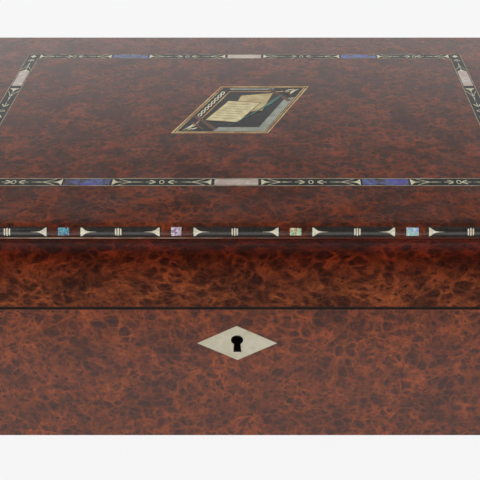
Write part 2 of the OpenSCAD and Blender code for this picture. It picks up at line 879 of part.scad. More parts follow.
module cylinder_wheels() {
    color(BRASS) {
        difference() {
            slab_x(drum_wheel_x - 0.5, drum_wheel_t + 1, cyl_y, axis_z)
                rotate(180 / pinion_teeth) gear_outline(pinion_teeth, drum_mod);
            bar_x(arbor_r, drum_wheel_x - 2, drum_wheel_x + drum_wheel_t + 2, cyl_y, axis_z);
        }
        difference() {
            slab_x(cyl_wheel_x, cyl_wheel_t, cyl_y, axis_z) rotate(mesh_fall) gear_outline(cyl_teeth, cyl_mod);
            bar_x(arbor_r, cyl_wheel_x - 1, cyl_wheel_x + cyl_wheel_t + 1, cyl_y, axis_z);
        }
    }
}

// ---- Bridges -------------------------------------------------------------
// An upright plate on the bedplate, rounded over each bearing
module bridge(x0, t, y0, y1, bearings) {
    top_r = 9;
    difference() {
        union() {
            block([x0, y0, bed_top], [x0 + t, y1, axis_z]);
            for (y = bearings)
                bar_x(top_r, x0, x0 + t, y, axis_z);
        }
        for (y = bearings)
            bar_x(arbor_r + run_fit, x0 - 1, x0 + t + 1, y, axis_z);
    }
}

module left_bridge() {
    stud = polar(click_reach, click_angle);
    color(BRASS) {
        bridge(left_bridge_x, bridge_t, barrel_y - 20, barrel_y + 14, [barrel_y]);
        bar_x(click_stud_r, ratchet_x - 0.5, left_bridge_x, barrel_y + stud[0], axis_z + stud[1]);
    }
}

module middle_bridge() {
    color(BRASS) bridge(middle_bridge_x, bridge_t, cyl_y - 10, barrel_y + 10, [cyl_y, barrel_y]);
}

module right_bracket() {
    color(BRASS) bridge(bracket_x, bracket_t, cyl_y - 8, cyl_y + 8, [cyl_y]);
}

// ---- Barrel --------------------------------------------------------------
module barrel_drum() {
    web = 1.4;
    color(BRASS) difference() {
        union() {
            bar_x(barrel_r, drum_x, drum_wheel_x, barrel_y, axis_z);
            slab_x(drum_wheel_x, drum_wheel_t, barrel_y, axis_z) gear_outline(drum_teeth, drum_mod);
        }
        bar_x(barrel_r - drum_wall, drum_x - 1, drum_wheel_x - web, barrel_y, axis_z);
        bar_x(arbor_r + run_fit, drum_x, drum_wheel_x + drum_wheel_t + 1, barrel_y, axis_z);
    }
}

module barrel_cap() {
    color(BRASS) tube_x(barrel_r, arbor_r + run_fit, cap_x, drum_x, barrel_y, axis_z);
}

// A flat spiral ribbon, from the drum's wall inwards to just clear of the core
module mainspring() {
    steps = 20 * spring_turns;
    r1 = barrel_r - drum_wall - spring_t;
    r0 = core_r + 1;
    function ring(i) = r1 + (r0 - r1) * i / steps;
    outer = [for (i = [0:steps]) polar(ring(i) + spring_t, i * 18)];
    inner = [for (i = [steps:-1:0]) polar(ring(i), i * 18)];
    color(STEEL) slab_x(drum_x + 1, barrel_l - 4, barrel_y, axis_z) polygon(concat(outer, inner));
}

module barrel_arbor() {
    color(STEEL) {
        bar_x(arbor_r, arbor_x0, middle_bridge_x + bridge_t + 1, barrel_y, axis_z);
        bar_x(core_r, drum_x + 0.5, drum_wheel_x - 2, barrel_y, axis_z);
    }
}

module ratchet_wheels() {
    color(STEEL) for (x = [ratchet_x, lever_ratchet_x]) difference() {
        slab_x(x, ratchet_t, barrel_y, axis_z) ratchet_outline();
        bar_x(arbor_r, x - 1, x + ratchet_t + 1, barrel_y, axis_z);
    }
}

// A pawl: a hub on its stud and a beak whose tip stops just clear of the ratchet
module pawl(x, t, reach, bore) {
    r_tip = ratchet_r + pawl_gap;
    slab_x(x, t, barrel_y, axis_z) difference() {
        union() {
            translate([reach, 0]) circle(r = pawl_r);
            polygon([[reach - 1, -pawl_r * 0.9], [reach + 1, pawl_r * 0.9], polar(r_tip + 1, 27), polar(r_tip, 24)]);
        }
        translate([reach, 0]) circle(r = bore);
    }
}

module click() {
    color(STEEL) translate([0, barrel_y, axis_z]) rotate([click_angle, 0, 0]) translate([0, -barrel_y, -axis_z])
        pawl(ratchet_x, ratchet_t - 0.5, click_reach, click_stud_r + run_fit);
}

// Turns a piece of the lever assembly to the lever's resting angle
module at_lever() {
    translate([0, barrel_y, axis_z]) rotate([180 + lever_fall, 0, 0]) translate([0, -barrel_y, -axis_z]) children();
}

// Outline of the lever's blade, from inside its hub to the tang in its grip
module lever_outline() {
    shoulder = lever_l - grip_r;
    end = lever_l - grip_tang;
    w = lever_w / 2;
    polygon([[lever_hub_r - 3, -w], [shoulder, -w], [shoulder, -grip_tang], [end, -grip_tang],
             [end, grip_tang], [shoulder, grip_tang], [shoulder, w], [lever_hub_r - 3, w]]);
}

module winding_lever() {
    color(STEEL) difference() {
        union() {
            bar_x(lever_hub_r, lever_x - lever_boss, lever_x + lever_hub_t, barrel_y, axis_z);
            at_lever() slab_x(lever_x, lever_t, barrel_y, axis_z) lever_outline();
            at_lever() bar_x(pawl_stud_r, lever_x + lever_t - 1, lever_ratchet_x + ratchet_t - 0.5,
                barrel_y + pawl_pivot, axis_z);
        }
        bar_x(arbor_r + run_fit, lever_x - lever_boss - 1, lever_x + lever_hub_t + 1, barrel_y, axis_z);
    }
}

module lever_grip() {
    x = lever_x + lever_t / 2;
    color("#e8dcc0") at_lever() difference() {
        bar_x(grip_r, x - grip_l / 2, x + grip_l / 2, barrel_y + lever_l, axis_z);
        block([lever_x, barrel_y + lever_l - grip_r - 2, axis_z - grip_tang],
              [lever_x + lever_t, barrel_y + lever_l - grip_tang, axis_z + grip_tang]);
    }
}

module lever_pawl() {
    color(STEEL) at_lever() pawl(lever_ratchet_x + 0.2, ratchet_t - 0.7, pawl_pivot, pawl_stud_r + run_fit);
}

// ---- Governor ------------------------------------------------------------
module governor_frame() {
    color(BRASS) difference() {
        union() {
            block([gov_x0, gov_y0, bed_top], [gov_x1, gov_y1, bed_top + gov_base_t]);
            for (x = [gov_x0, gov_x1 - gov_t])
                block([x, gov_y0, bed_top + gov_base_t], [x + gov_t, gov_end_y, gov_top]);
        }
        for (p = [[first_y, first_z], [second_y, first_z]])
            bar_x(pivot_r + run_fit, gov_x0 - 1, gov_x1 + 1, p[0], p[1]);
        translate([worm_x, worm_y, bed_top + gov_base_t - foot_h]) cylinder(r = pivot_r + run_fit, h = foot_h + 1);
    }
}

module governor_first_wheel() {
    color(BRASS) {
        bar_x(pivot_r, gov_x0, gov_x1, first_y, first_z);
        difference() {
            slab_x(cyl_wheel_x - 1, cyl_wheel_t + 2, first_y, first_z)
                rotate(180 + mesh_fall + 180 / first_pinion) gear_outline(first_pinion, cyl_mod);
            bar_x(pivot_r, gov_x0, gov_x1, first_y, first_z);
        }
        difference() {
            slab_x(first_wheel_x, first_wheel_t, first_y, first_z) gear_outline(first_teeth, first_mod);
            bar_x(pivot_r, gov_x0, gov_x1, first_y, first_z);
        }
    }
}

module governor_second_wheel() {
    color(BRASS) {
        bar_x(pivot_r, gov_x0, gov_x1, second_y, first_z);
        difference() {
            slab_x(first_wheel_x - 0.5, first_wheel_t + 1, second_y, first_z)
                rotate(180 + 180 / second_pinion) gear_outline(second_pinion, first_mod);
            bar_x(pivot_r, gov_x0, gov_x1, second_y, first_z);
        }
        difference() {
            slab_x(worm_x - worm_wheel_t / 2, worm_wheel_t, second_y, first_z) worm_wheel_outline();
            bar_x(pivot_r, gov_x0, gov_x1, second_y, first_z);
        }
    }
}

// The thread is an off-centre circle turned once for each lead
module endless_screw() {
    color(STEEL) translate([worm_x, worm_y, worm_z]) rotate(180) linear_extrude(worm_l,
        twist = -360 * worm_l / worm_lead, slices = 44) translate([worm_wave, 0]) circle(r = worm_core, $fn = 16);
}

// The fly: two thin wings on the upright spindle, which runs on above and below the screw
module fly() {
    foot_z = bed_top + gov_base_t - foot_h + 0.2;
    color(STEEL) translate([worm_x, worm_y, 0]) {
        translate([0, 0, foot_z]) cylinder(r = pivot_r, h = worm_z - foot_z);
        translate([0, 0, worm_z + worm_l]) cylinder(r = pivot_r, h = cock_z + 2 - worm_z - worm_l);
        block([-fly_r, -wing_t / 2, wing_z], [fly_r, wing_t / 2, wing_z + wing_h]);
    }
}

module governor_cock() {
    x0 = worm_x - cock_w / 2;
    x1 = worm_x + cock_w / 2;
    col_y = worm_y + fly_r + 2;
    color(BRASS) difference() {
        union() {
            block([x0, col_y, bed_top + gov_base_t], [x1, col_y + cock_t, cock_z]);
            block([x0, worm_y, cock_z], [x1, col_y + cock_t, cock_z + cock_t]);
            translate([worm_x, worm_y, cock_z]) cylinder(r = cock_w / 2, h = cock_t);
        }
        translate([worm_x, worm_y, cock_z - 1]) cylinder(r = pivot_r + run_fit, h = cock_t + 0.4);
    }
}

// ---- Controls ------------------------------------------------------------
module control_plate() {
    color(BRASS) difference() {
        block([plate_x, change_y - 10, ctl_z - 9], [plate_x + plate_t, start_y + 10, ctl_z + 9]);
        for (y = [start_y, change_y])
            bar_x(ctl_shaft_r + run_fit, plate_x - 1, plate_x + plate_t + 1, y, ctl_z);
    }
}

// A hand lever outside, its shaft through the plate and partition, and a short arm inside
module control_lever(y, lean) {
    translate([0, y, ctl_z]) rotate([lean, 0, 0]) {
        bar_x(ctl_shaft_r, ctl_arm_x, ctl_lever_x + ctl_lever_t + 1, 0, 0);
        block([ctl_lever_x, -3, 0], [ctl_lever_x + ctl_lever_t, 3, ctl_len]);
        bar_x(4.5, ctl_lever_x, ctl_lever_x + ctl_lever_t, 0, 0);
        bar_x(knob_r, ctl_lever_x - 1, ctl_lever_x + ctl_lever_t + 1, 0, ctl_len + 1);
        bar_x(4, ctl_arm_x, ctl_arm_x + ctl_arm_t, 0, 0);
        block([ctl_arm_x, -2, 0], [ctl_arm_x + ctl_arm_t, 2, ctl_arm_len]);
    }
}

module start_lever() {
    color(STEEL) control_lever(start_y, -ctl_sweep);
}

module change_lever() {
    color(STEEL) control_lever(change_y, -ctl_sweep);
}

place() base_board();
place() front_board();
place() back_board();
place() left_end();
place() right_end();
place() left_partition();
place() right_partition();
place() back_ledge();
place() escutcheon();
place() lock_case();
place() lock_bolt();
place() lock_link_plate();
place() case_hinge_leaves();
place() lid_hinge_leaves();
place() hinge_pins();
place() lid_panel();
place() lid_front_rail();
place() lid_back_rail();
place() lid_left_rail();
place() lid_right_rail();
place() lid_edging();
place() lid_border_inlay();
place() lid_centre_panel();
place() glass_frame();
place() glass_pane();
place() glass_hinge_leaves();
place() ledge_hinge_leaves();
place() glass_knob();
place() bedplate();
place() bedplate_blocks();
place() bedplate_bolts();
place() comb();
place() comb_base();
place() comb_screws();
place() pin_cylinder();
place() cylinder_filling();
place() cylinder_caps();
place() cylinder_arbor();
place() cylinder_wheels();
place() left_bridge();
place() middle_bridge();
place() right_bracket();
place() barrel_drum();
place() barrel_cap();
place() mainspring();
place() barrel_arbor();
place() ratchet_wheels();
place() click();
place() winding_lever();
place() lever_grip();
place() lever_pawl();
place() governor_frame();
place() governor_first_wheel();
place() governor_second_wheel();
place() endless_screw();
place() fly();
place() governor_cock();
place() start_lever();
place() change_lever();
place() control_plate();
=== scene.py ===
"""Looks of the burr-veneered music box: inlay, mouldings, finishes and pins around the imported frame."""
import math

import bmesh
import bpy
import numpy as np
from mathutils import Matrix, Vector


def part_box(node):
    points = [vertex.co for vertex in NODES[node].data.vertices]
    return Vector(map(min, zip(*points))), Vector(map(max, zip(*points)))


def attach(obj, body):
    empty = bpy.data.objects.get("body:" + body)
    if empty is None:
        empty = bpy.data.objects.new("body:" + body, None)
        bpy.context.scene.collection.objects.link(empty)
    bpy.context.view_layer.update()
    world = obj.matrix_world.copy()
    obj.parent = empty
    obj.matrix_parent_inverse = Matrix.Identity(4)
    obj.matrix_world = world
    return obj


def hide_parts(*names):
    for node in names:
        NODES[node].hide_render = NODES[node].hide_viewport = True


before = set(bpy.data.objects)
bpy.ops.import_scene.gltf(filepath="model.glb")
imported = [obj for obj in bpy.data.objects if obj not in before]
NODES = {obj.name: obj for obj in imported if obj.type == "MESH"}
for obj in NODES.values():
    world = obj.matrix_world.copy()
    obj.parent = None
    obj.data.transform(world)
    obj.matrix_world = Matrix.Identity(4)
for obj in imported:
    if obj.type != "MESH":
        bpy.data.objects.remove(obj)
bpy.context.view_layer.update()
MM = 0.001

# ---- Places taken from the frame, in millimetres from the middle of the case front at its foot ----
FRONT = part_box("front_board")[0][1] / MM
BODY_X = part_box("front_board")[1][0] / MM
BODY_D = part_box("back_board")[1][1] / MM - FRONT
BODY_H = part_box("front_board")[1][2] / MM
LID_Z0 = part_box("lid_back_rail")[0][2] / MM
LID_Z1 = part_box("lid_panel")[1][2] / MM
PANEL_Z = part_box("lid_panel")[0][2] / MM
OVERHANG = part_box("lid_edging")[1][0] / MM - BODY_X
ROLL_R = LID_Z1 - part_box("lid_edging")[0][2] / MM
ROLL_Z = LID_Z1 - ROLL_R
LIP_H = 0.9
COVE_H = 14.5
WALL = 11.0
BAND_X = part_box("lid_border_inlay")[1][0] / MM - 3.7
BAND_Y0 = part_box("lid_border_inlay")[0][1] / MM - FRONT + 3.7
BAND_Y1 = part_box("lid_border_inlay")[1][1] / MM - FRONT - 3.7
PROUD = 0.05
SET_IN = 0.25


# ---- Mesh helpers ----
def to_row(points):
    """Millimetres from the case front become metres in the row's frame: y moves by the front's place."""
    return (np.asarray(points, float) + [0.0, FRONT, 0.0]) * MM


def piece(name, verts, faces, material, body, slot, sharp=None):
    """Makes one mesh piece from points in millimetres, its faces turned outwards, and lets it ride on a body."""
    mesh = bpy.data.meshes.new(name)
    mesh.from_pydata(to_row(verts).tolist(), [], [list(f) for f in faces])
    shape = bmesh.new()
    shape.from_mesh(mesh)
    bmesh.ops.recalc_face_normals(shape, faces=shape.faces)
    shape.to_mesh(mesh)
    shape.free()
    mesh.update()
    if sharp is not None:
        mesh.polygons.foreach_set("use_smooth", np.ones(len(mesh.polygons), bool))
        mesh.set_sharp_from_angle(angle=math.radians(sharp))
    thing = bpy.data.objects.new(name, mesh)
    bpy.context.scene.collection.objects.link(thing)
    mesh.materials.append(material)
    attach(thing, body)
    return thing


def slab(top, under):
    """A closed thin form: two grids of points over one another, joined round their four rims."""
    nu, nv = top.shape[:2]
    grid = np.arange(nu * nv).reshape(nu, nv)
    low = grid + nu * nv
    a, b, c, d = grid[:-1, :-1], grid[1:, :-1], grid[1:, 1:], grid[:-1, 1:]
    quads = [np.stack([a, b, c, d], -1).reshape(-1, 4), np.stack([d, c, b, a], -1).reshape(-1, 4) + nu * nv]
    rims = [(grid[:, 0], low[:, 0]), (grid[-1, :], low[-1, :]), (grid[::-1, -1], low[::-1, -1]),
            (grid[0, ::-1], low[0, ::-1])]
    for up, down in rims:
        quads.append(np.stack([down[:-1], down[1:], up[1:], up[:-1]], -1))
    return np.concatenate([top.reshape(-1, 3), under.reshape(-1, 3)]), np.concatenate(quads)


def hoop(loops):
    """A closed ring: four closed loops of points, each joined to the next and the last to the first."""
    count = len(loops[0])
    i = np.arange(count)
    j = (i + 1) % count
    quads = [np.stack([i + a * count, j + a * count, j + b * count, i + b * count], -1)
             for a, b in ((0, 1), (1, 2), (2, 3), (3, 0))]
    return np.concatenate(loops), np.concatenate(quads)


def joined(parts):
    """Several point and face arrays as one, with the later faces counted on from the earlier points."""
    starts = np.cumsum([0] + [len(v) for v, _ in parts[:-1]])
    return np.concatenate([v for v, _ in parts]), np.concatenate([f + s for (_, f), s in zip(parts, starts)])


def lid_inlay(name, parts, material):
    """Shell or line inlay on the lid, all its bits as one piece."""
    piece(name, *joined(parts), material, "lid", "pearl")


def flat(s, centre, half, place, z, lift=PROUD):
    """A flat inlay: at each s along a line it spans centre - half to centre + half, carried by place()."""
    s = np.asarray(s, float)
    rows = np.stack([np.stack([s, centre - half], -1), np.stack([s, centre + half], -1)], 1)
    xy = place(rows)
    top = np.concatenate([xy, np.full(xy.shape[:2] + (1,), z + lift)], -1)
    return slab(top, top - [0, 0, SET_IN + lift])


def quad_inlay(corners, z, lift=PROUD):
    """A flat four-cornered inlay, its corners given anticlockwise from above."""
    p = np.asarray(corners, float)
    top = np.array([[p[0], p[3]], [p[1], p[2]]])
    top = np.concatenate([top, np.full((2, 2, 1), z + lift)], -1)
    return slab(top, top - [0, 0, SET_IN + lift])


# ---- Node helpers ----
def node(tree, kind, values=None, **settings):
    made = tree.nodes.new("ShaderNode" + kind)
    for key, value in settings.items():
        setattr(made, key, value)
    for key, value in (values or {}).items():
        if isinstance(value, bpy.types.NodeSocket):
            tree.links.new(value, made.inputs[key])
        else:
            made.inputs[key].default_value = value
    return made


def maths(tree, operation, a, b=0.0, clamp=False):
    return node(tree, "Math", {0: a, 1: b}, operation=operation, use_clamp=clamp).outputs[0]


def times(tree, a, b):
    return maths(tree, "MULTIPLY", a, b)


def plus(tree, a, b):
    return maths(tree, "ADD", a, b)


def here(tree):
    """The place on the piece that a pattern is drawn by: its Object coordinates."""
    return node(tree, "TexCoord").outputs["Object"]


def axis(tree, letter):
    return node(tree, "SeparateXYZ", {0: here(tree)}).outputs[letter]


def scaled(tree, place, by):
    """The place drawn out or in by three factors."""
    return node(tree, "VectorMath", {0: place, 1: by}, operation="MULTIPLY").outputs[0]


def span(tree, value, low, high, to_low=0.0, to_high=1.0):
    """A smooth step from low to high."""
    made = node(tree, "MapRange", {"Value": value, "From Min": low, "From Max": high, "To Min": to_low,
                                   "To Max": to_high}, interpolation_type="SMOOTHSTEP")
    return made.outputs["Result"]


def blend(tree, mask, a, b, mode="MIX"):
    """Mixes two colours by a mask."""
    made = tree.nodes.new("ShaderNodeMix")
    made.data_type = "RGBA"
    made.blend_type = mode
    for key, value in ((0, mask), (6, a), (7, b)):
        if isinstance(value, bpy.types.NodeSocket):
            tree.links.new(value, made.inputs[key])
        else:
            made.inputs[key].default_value = value
    return made.outputs[2]


def srgb(r, g, b):
    """A display colour from 0 to 255 as the linear colour that a shader takes."""
    c = np.array([r, g, b]) / 255.0
    lin = np.where(c <= 0.04045, c / 12.92, ((c + 0.055) / 1.055) ** 2.4)
    return (*lin.tolist(), 1.0)


def noise(tree, place, scale, detail=3.0, rough=0.5, distort=0.0, out="Fac"):
    made = node(tree, "TexNoise", {"Vector": place, "Scale": scale, "Detail": detail, "Roughness": rough,
                                   "Distortion": distort})
    return made.outputs[out]


def group(name, inputs, outputs):
    """An empty effect group with named sockets, and its two end nodes."""
    tree = bpy.data.node_groups.new(name, "ShaderNodeTree")
    for label, kind, value in inputs:
        made = tree.interface.new_socket(label, in_out="INPUT", socket_type="NodeSocket" + kind)
        made.default_value = value
    for label, kind in outputs:
        tree.interface.new_socket(label, in_out="OUTPUT", socket_type="NodeSocket" + kind)
    return tree, tree.nodes.new("NodeGroupInput").outputs, tree.nodes.new("NodeGroupOutput").inputs


def shifted(tree, place, scale, amount):
    """The place moved about by a noise, so that a pattern bends like grain."""
    wander = noise(tree, place, scale, 2.0, 0.5, out="Color")
    centred = node(tree, "VectorMath", {0: wander, 1: (0.5, 0.5, 0.5)}, operation="SUBTRACT").outputs[0]
    moved = node(tree, "VectorMath", {0: centred, "Scale": amount}, operation="SCALE").outputs[0]
    return node(tree, "VectorMath", {0: place, 1: moved}, operation="ADD").outputs[0]


def eye_spots(tree, place, scale, reach, cluster):
    """Round dark spots: each cell's own random number sets its spot's radius, and a cluster mask keeps it."""
    cell = node(tree, "TexVoronoi", {"Vector": place, "Scale": scale, "Randomness": 0.9})
    size = node(tree, "SeparateColor", {0: cell.outputs["Color"]}).outputs[0]
    size = times(tree, size, reach)
    inside = maths(tree, "SUBTRACT", size, cell.outputs["Distance"])
    return times(tree, span(tree, inside, -0.10, 0.10), cluster)


def ridge_lines(tree, place, scale, width):
    """Winding bright lines where neighbouring cells meet: a band round zero distance to the cell's edge."""
    cell = node(tree, "TexVoronoi", {"Vector": place, "Scale": scale}, feature="DISTANCE_TO_EDGE")
    return span(tree, cell.outputs["Distance"], width, 0.02)


def burr_group():
    """Burr figure: a bright network round dark eyes of several sizes, under soft dark clouds."""
    tree, given, out = group("burr figure", [
        ("Network", "Color", srgb(150, 66, 30)), ("Ember", "Color", srgb(184, 88, 40)),
        ("Eye", "Color", srgb(66, 38, 32)), ("Cloud", "Color", srgb(74, 34, 24)), ("Cloudiness", "Float", 0.5),
        ("Draw", "Vector", (1.0, 1.0, 1.0)), ("Eyed", "Float", 1.0)],
        [("Color", "Color"), ("Height", "Float")])
    place = scaled(tree, here(tree), given["Draw"])
    bent = shifted(tree, shifted(tree, shifted(tree, place, 32.0, 0.012), 230.0, 0.0026), 620.0, 0.0009)
    wild = shifted(tree, bent, 90.0, 0.012)
    # Eyes: large, middle and small, each kept only where its own cluster noise is high
    big = eye_spots(tree, bent, 176.0, 0.78, span(tree, noise(tree, bent, 60.0, 2.0), 0.40, 0.52))
    middle = eye_spots(tree, bent, 255.0, 0.66, span(tree, noise(tree, place, 75.0, 2.0), 0.32, 0.46))
    small = eye_spots(tree, bent, 560.0, 0.70, span(tree, noise(tree, place, 110.0, 2.0), 0.46, 0.58))
    pips = eye_spots(tree, bent, 440.0, 0.42, 1.0)
    eyes = maths(tree, "MAXIMUM", big, maths(tree, "MAXIMUM", middle, maths(tree, "MAXIMUM", small, pips)), True)
    ragged = span(tree, noise(tree, bent, 620.0, 4.0, 0.7), 0.22, 0.52, 0.45, 1.0)
    eyes = times(tree, times(tree, eyes, ragged), given["Eyed"])
    # Ground: ember ridges that wind between the eyes, with streaks and fine fibre, under clouds
    ridges = maths(tree, "MAXIMUM", ridge_lines(tree, bent, 176.0, 0.24),
                   times(tree, ridge_lines(tree, bent, 340.0, 0.16), 0.6))
    streak = span(tree, noise(tree, wild, 150.0, 5.0, 0.65, 0.6), 0.42, 0.64)
    lit = times(tree, ridges, span(tree, noise(tree, place, 95.0, 4.0, 0.6), 0.36, 0.60, 0.12, 0.95))
    lit = maths(tree, "MAXIMUM", lit, times(tree, streak, 0.72))
    ground = blend(tree, lit, given["Network"], given["Ember"])
    cloud = span(tree, noise(tree, wild, 46.0, 6.0, 0.68, 0.4), 0.40, 0.62)
    cloud = times(tree, cloud, given["Cloudiness"])
    ground = blend(tree, cloud, ground, given["Cloud"])
    fibre = noise(tree, wild, 900.0, 4.0, 0.7)
    ground = blend(tree, times(tree, span(tree, fibre, 0.40, 0.68), 0.38), ground, given["Eye"])
    eye_tone = blend(tree, span(tree, noise(tree, place, 420.0, 3.0), 0.35, 0.65), given["Eye"], given["Cloud"])
    eyes = times(tree, eyes, maths(tree, "SUBTRACT", 1.0, times(tree, ridges, 0.45)))
    colour = blend(tree, times(tree, eyes, 0.85), ground, eye_tone)
    tree.links.new(colour, out["Color"])
    tree.links.new(plus(tree, times(tree, eyes, -0.5), times(tree, fibre, 0.25)), out["Height"])
    return tree


def wear_group():
    """Wear: fine scratches, smudges and small spots, each from 0 to 1."""
    tree, given, out = group("wear marks", [("Spot scale", "Float", 150.0), ("Spots", "Float", 0.05)],
                             [("Smudge", "Float"), ("Scratch", "Float"), ("Spot", "Float")])
    place = here(tree)
    tree.links.new(span(tree, noise(tree, place, 55.0, 5.0, 0.65), 0.3, 0.75), out["Smudge"])
    turned = node(tree, "Mapping", {"Vector": place, "Rotation": (0.2, 0.3, 0.6), "Scale": (30.0, 900.0, 260.0)})
    scratch = noise(tree, turned.outputs[0], 1.0, 4.0, 0.7)
    tree.links.new(span(tree, scratch, 0.66, 0.74), out["Scratch"])
    spot = node(tree, "TexVoronoi", {"Vector": shifted(tree, place, 400.0, 0.003), "Scale": given["Spot scale"]})
    keep = span(tree, noise(tree, place, 33.0, 2.0), 0.46, 0.58)
    tree.links.new(times(tree, span(tree, spot.outputs["Distance"], given["Spots"], 0.0), keep), out["Spot"])
    return tree


def shell_group():
    """Shell: wavering growth bands that turn through four sheen colours."""
    tree, given, out = group("shell lustre", [
        ("First", "Color", (1, 1, 1, 1)), ("Second", "Color", (1, 1, 1, 1)), ("Third", "Color", (1, 1, 1, 1)),
        ("Fourth", "Color", (1, 1, 1, 1)), ("Scale", "Float", 300.0)],
        [("Color", "Color"), ("Height", "Float")])
    place = here(tree)
    bent = shifted(tree, place, 260.0, 0.006)
    slow = noise(tree, bent, given["Scale"], 3.0, 0.6, 1.6)
    fast = noise(tree, bent, times(tree, given["Scale"], 2.3), 3.0, 0.6, 2.0)
    colour = blend(tree, span(tree, slow, 0.38, 0.56), given["First"], given["Second"])
    colour = blend(tree, span(tree, fast, 0.50, 0.60), colour, given["Third"])
    colour = blend(tree, span(tree, noise(tree, bent, plus(tree, given["Scale"], 90.0), 2.0, 0.5, 1.0),
                              0.54, 0.64), colour, given["Fourth"])
    tree.links.new(colour, out["Color"])
    tree.links.new(plus(tree, slow, fast), out["Height"])
    return tree


def grain_group():
    """Brushed or turned metal: long fine lines along one axis, with a slow tarnish."""
    tree, given, out = group("metal grain", [("Stretch", "Vector", (900.0, 60.0, 900.0))],
                             [("Lines", "Float"), ("Tarnish", "Float")])
    place = here(tree)
    tree.links.new(noise(tree, scaled(tree, place, given["Stretch"]), 1.0, 4.0, 0.7), out["Lines"])
    tree.links.new(span(tree, noise(tree, place, 60.0, 5.0, 0.65), 0.4, 0.75), out["Tarnish"])
    return tree


def wood_group():
    """Straight-grained wood: noise drawn out along the grain between two tones, with short dark pores."""
    tree, given, out = group("straight grain", [
        ("Light", "Color", srgb(120, 72, 44)), ("Dark", "Color", srgb(84, 46, 28)), ("Grain", "Vector", GRAIN_X)],
        [("Color", "Color"), ("Height", "Float")])
    drawn = scaled(tree, shifted(tree, here(tree), 12.0, 0.02), given["Grain"])
    grain = noise(tree, drawn, 1.0, 5.0, 0.65)
    colour = blend(tree, span(tree, grain, 0.35, 0.68), given["Light"], given["Dark"])
    finer = node(tree, "VectorMath", {0: drawn, "Scale": 10.0}, operation="SCALE").outputs[0]
    pore = span(tree, noise(tree, finer, 1.0, 2.0), 0.56, 0.70)
    tree.links.new(blend(tree, times(tree, pore, 0.5), colour, given["Dark"]), out["Color"])
    tree.links.new(maths(tree, "SUBTRACT", grain, pore), out["Height"])
    return tree


def veneer_group():
    """0 within a veneer's depth of the outer faces and 1 deeper in: the least distance to the four sides and top."""
    tree, given, out = group("under the veneer", [("Top", "Float", 1.0), ("Depth", "Float", 0.0012)],
                             [("Inside", "Float")])
    parts = node(tree, "SeparateXYZ", {0: here(tree)}).outputs
    side = maths(tree, "SUBTRACT", BODY_X * MM, maths(tree, "ABSOLUTE", parts["X"]))
    front = maths(tree, "SUBTRACT", parts["Y"], FRONT * MM)
    back = maths(tree, "SUBTRACT", (FRONT + BODY_D) * MM, parts["Y"])
    least = maths(tree, "MINIMUM", maths(tree, "MINIMUM", side, front), back)
    least = maths(tree, "MINIMUM", least, maths(tree, "SUBTRACT", given["Top"], parts["Z"]))
    tree.links.new(maths(tree, "GREATER_THAN", least, given["Depth"]), out["Inside"])
    return tree


GRAIN_X = (9.0, 260.0, 260.0)
GRAIN_Y = (260.0, 9.0, 260.0)
BURR = burr_group()
WOOD = wood_group()
VENEER = veneer_group()
WEAR = wear_group()
SHELL = shell_group()
GRAIN = grain_group()


def material(name):
    """A material with its shader, and the tree that the finish is drawn in."""
    made = bpy.data.materials.new(name)
    made.use_nodes = True
    return made, made.node_tree, made.node_tree.nodes["Principled BSDF"]


def use(tree, effect, values=None):
    made = tree.nodes.new("ShaderNodeGroup")
    made.node_tree = effect
    for key, value in (values or {}).items():
        made.inputs[key].default_value = value
    return made.outputs


def bump(tree, shader, height, strength, depth):
    made = node(tree, "Bump", {"Height": height, "Strength": strength, "Distance": depth})
    tree.links.new(made.outputs[0], shader.inputs["Normal"])


def burr_finish(name, network, ember, eye, cloud, cloudiness, scuffed, draw=(1.0, 1.0, 1.0), eyed=1.0, under_lip_shade=None,
                top=1.0, along=GRAIN_X):
    """Polished burr over plain wood; the optional height range in metres darkens the colour upwards as painted shade
    under the lid's overhanging lip.
    """
    made, tree, shader = material(name)
    figure = use(tree, BURR, {"Network": network, "Ember": ember, "Eye": eye, "Cloud": cloud,
                              "Cloudiness": cloudiness, "Draw": draw, "Eyed": eyed})
    wear_and_highlight = use(tree, WEAR, {"Spots": 0.04 + 0.07 * scuffed})
    marks = maths(tree, "MAXIMUM", wear_and_highlight["Spot"], times(tree, wear_and_highlight["Scratch"], 0.30))
    colour = blend(tree, times(tree, marks, scuffed), figure["Color"], srgb(150, 104, 86))
    # Painted shade: the colour is multiplied darker towards the top of the moulding, under the overhanging lip, and
    # the whole material's specular level is lowered.
    if under_lip_shade:
        height = axis(tree, "Z")
        colour = blend(tree, span(tree, height, *under_lip_shade), colour, srgb(192, 120, 88), "MULTIPLY")
        shader.inputs["Specular IOR Level"].default_value = 0.06
    inside = use(tree, VENEER, {"Top": top})["Inside"]
    colour = blend(tree, inside, colour, use(tree, WOOD, {"Grain": along})["Color"])
    tree.links.new(colour, shader.inputs["Base Color"])
    rough = plus(tree, times(tree, plus(tree, wear_and_highlight["Smudge"], inside), 0.10),
                 times(tree, wear_and_highlight["Scratch"], 0.12 * scuffed))
    tree.links.new(plus(tree, rough, 0.16), shader.inputs["Roughness"])
    bump(tree, shader, figure["Height"], 0.06, 0.0004)
    return made


def wood_finish(name, light, dark, rough, along=GRAIN_X):
    """Plain straight-grained wood."""
    made, tree, shader = material(name)
    grain = use(tree, WOOD, {"Light": light, "Dark": dark, "Grain": along})
    tree.links.new(grain["Color"], shader.inputs["Base Color"])
    tree.links.new(plus(tree, times(tree, grain["Height"], 0.2), rough), shader.inputs["Roughness"])
    bump(tree, shader, grain["Height"], 0.25, 0.0003)
    return made


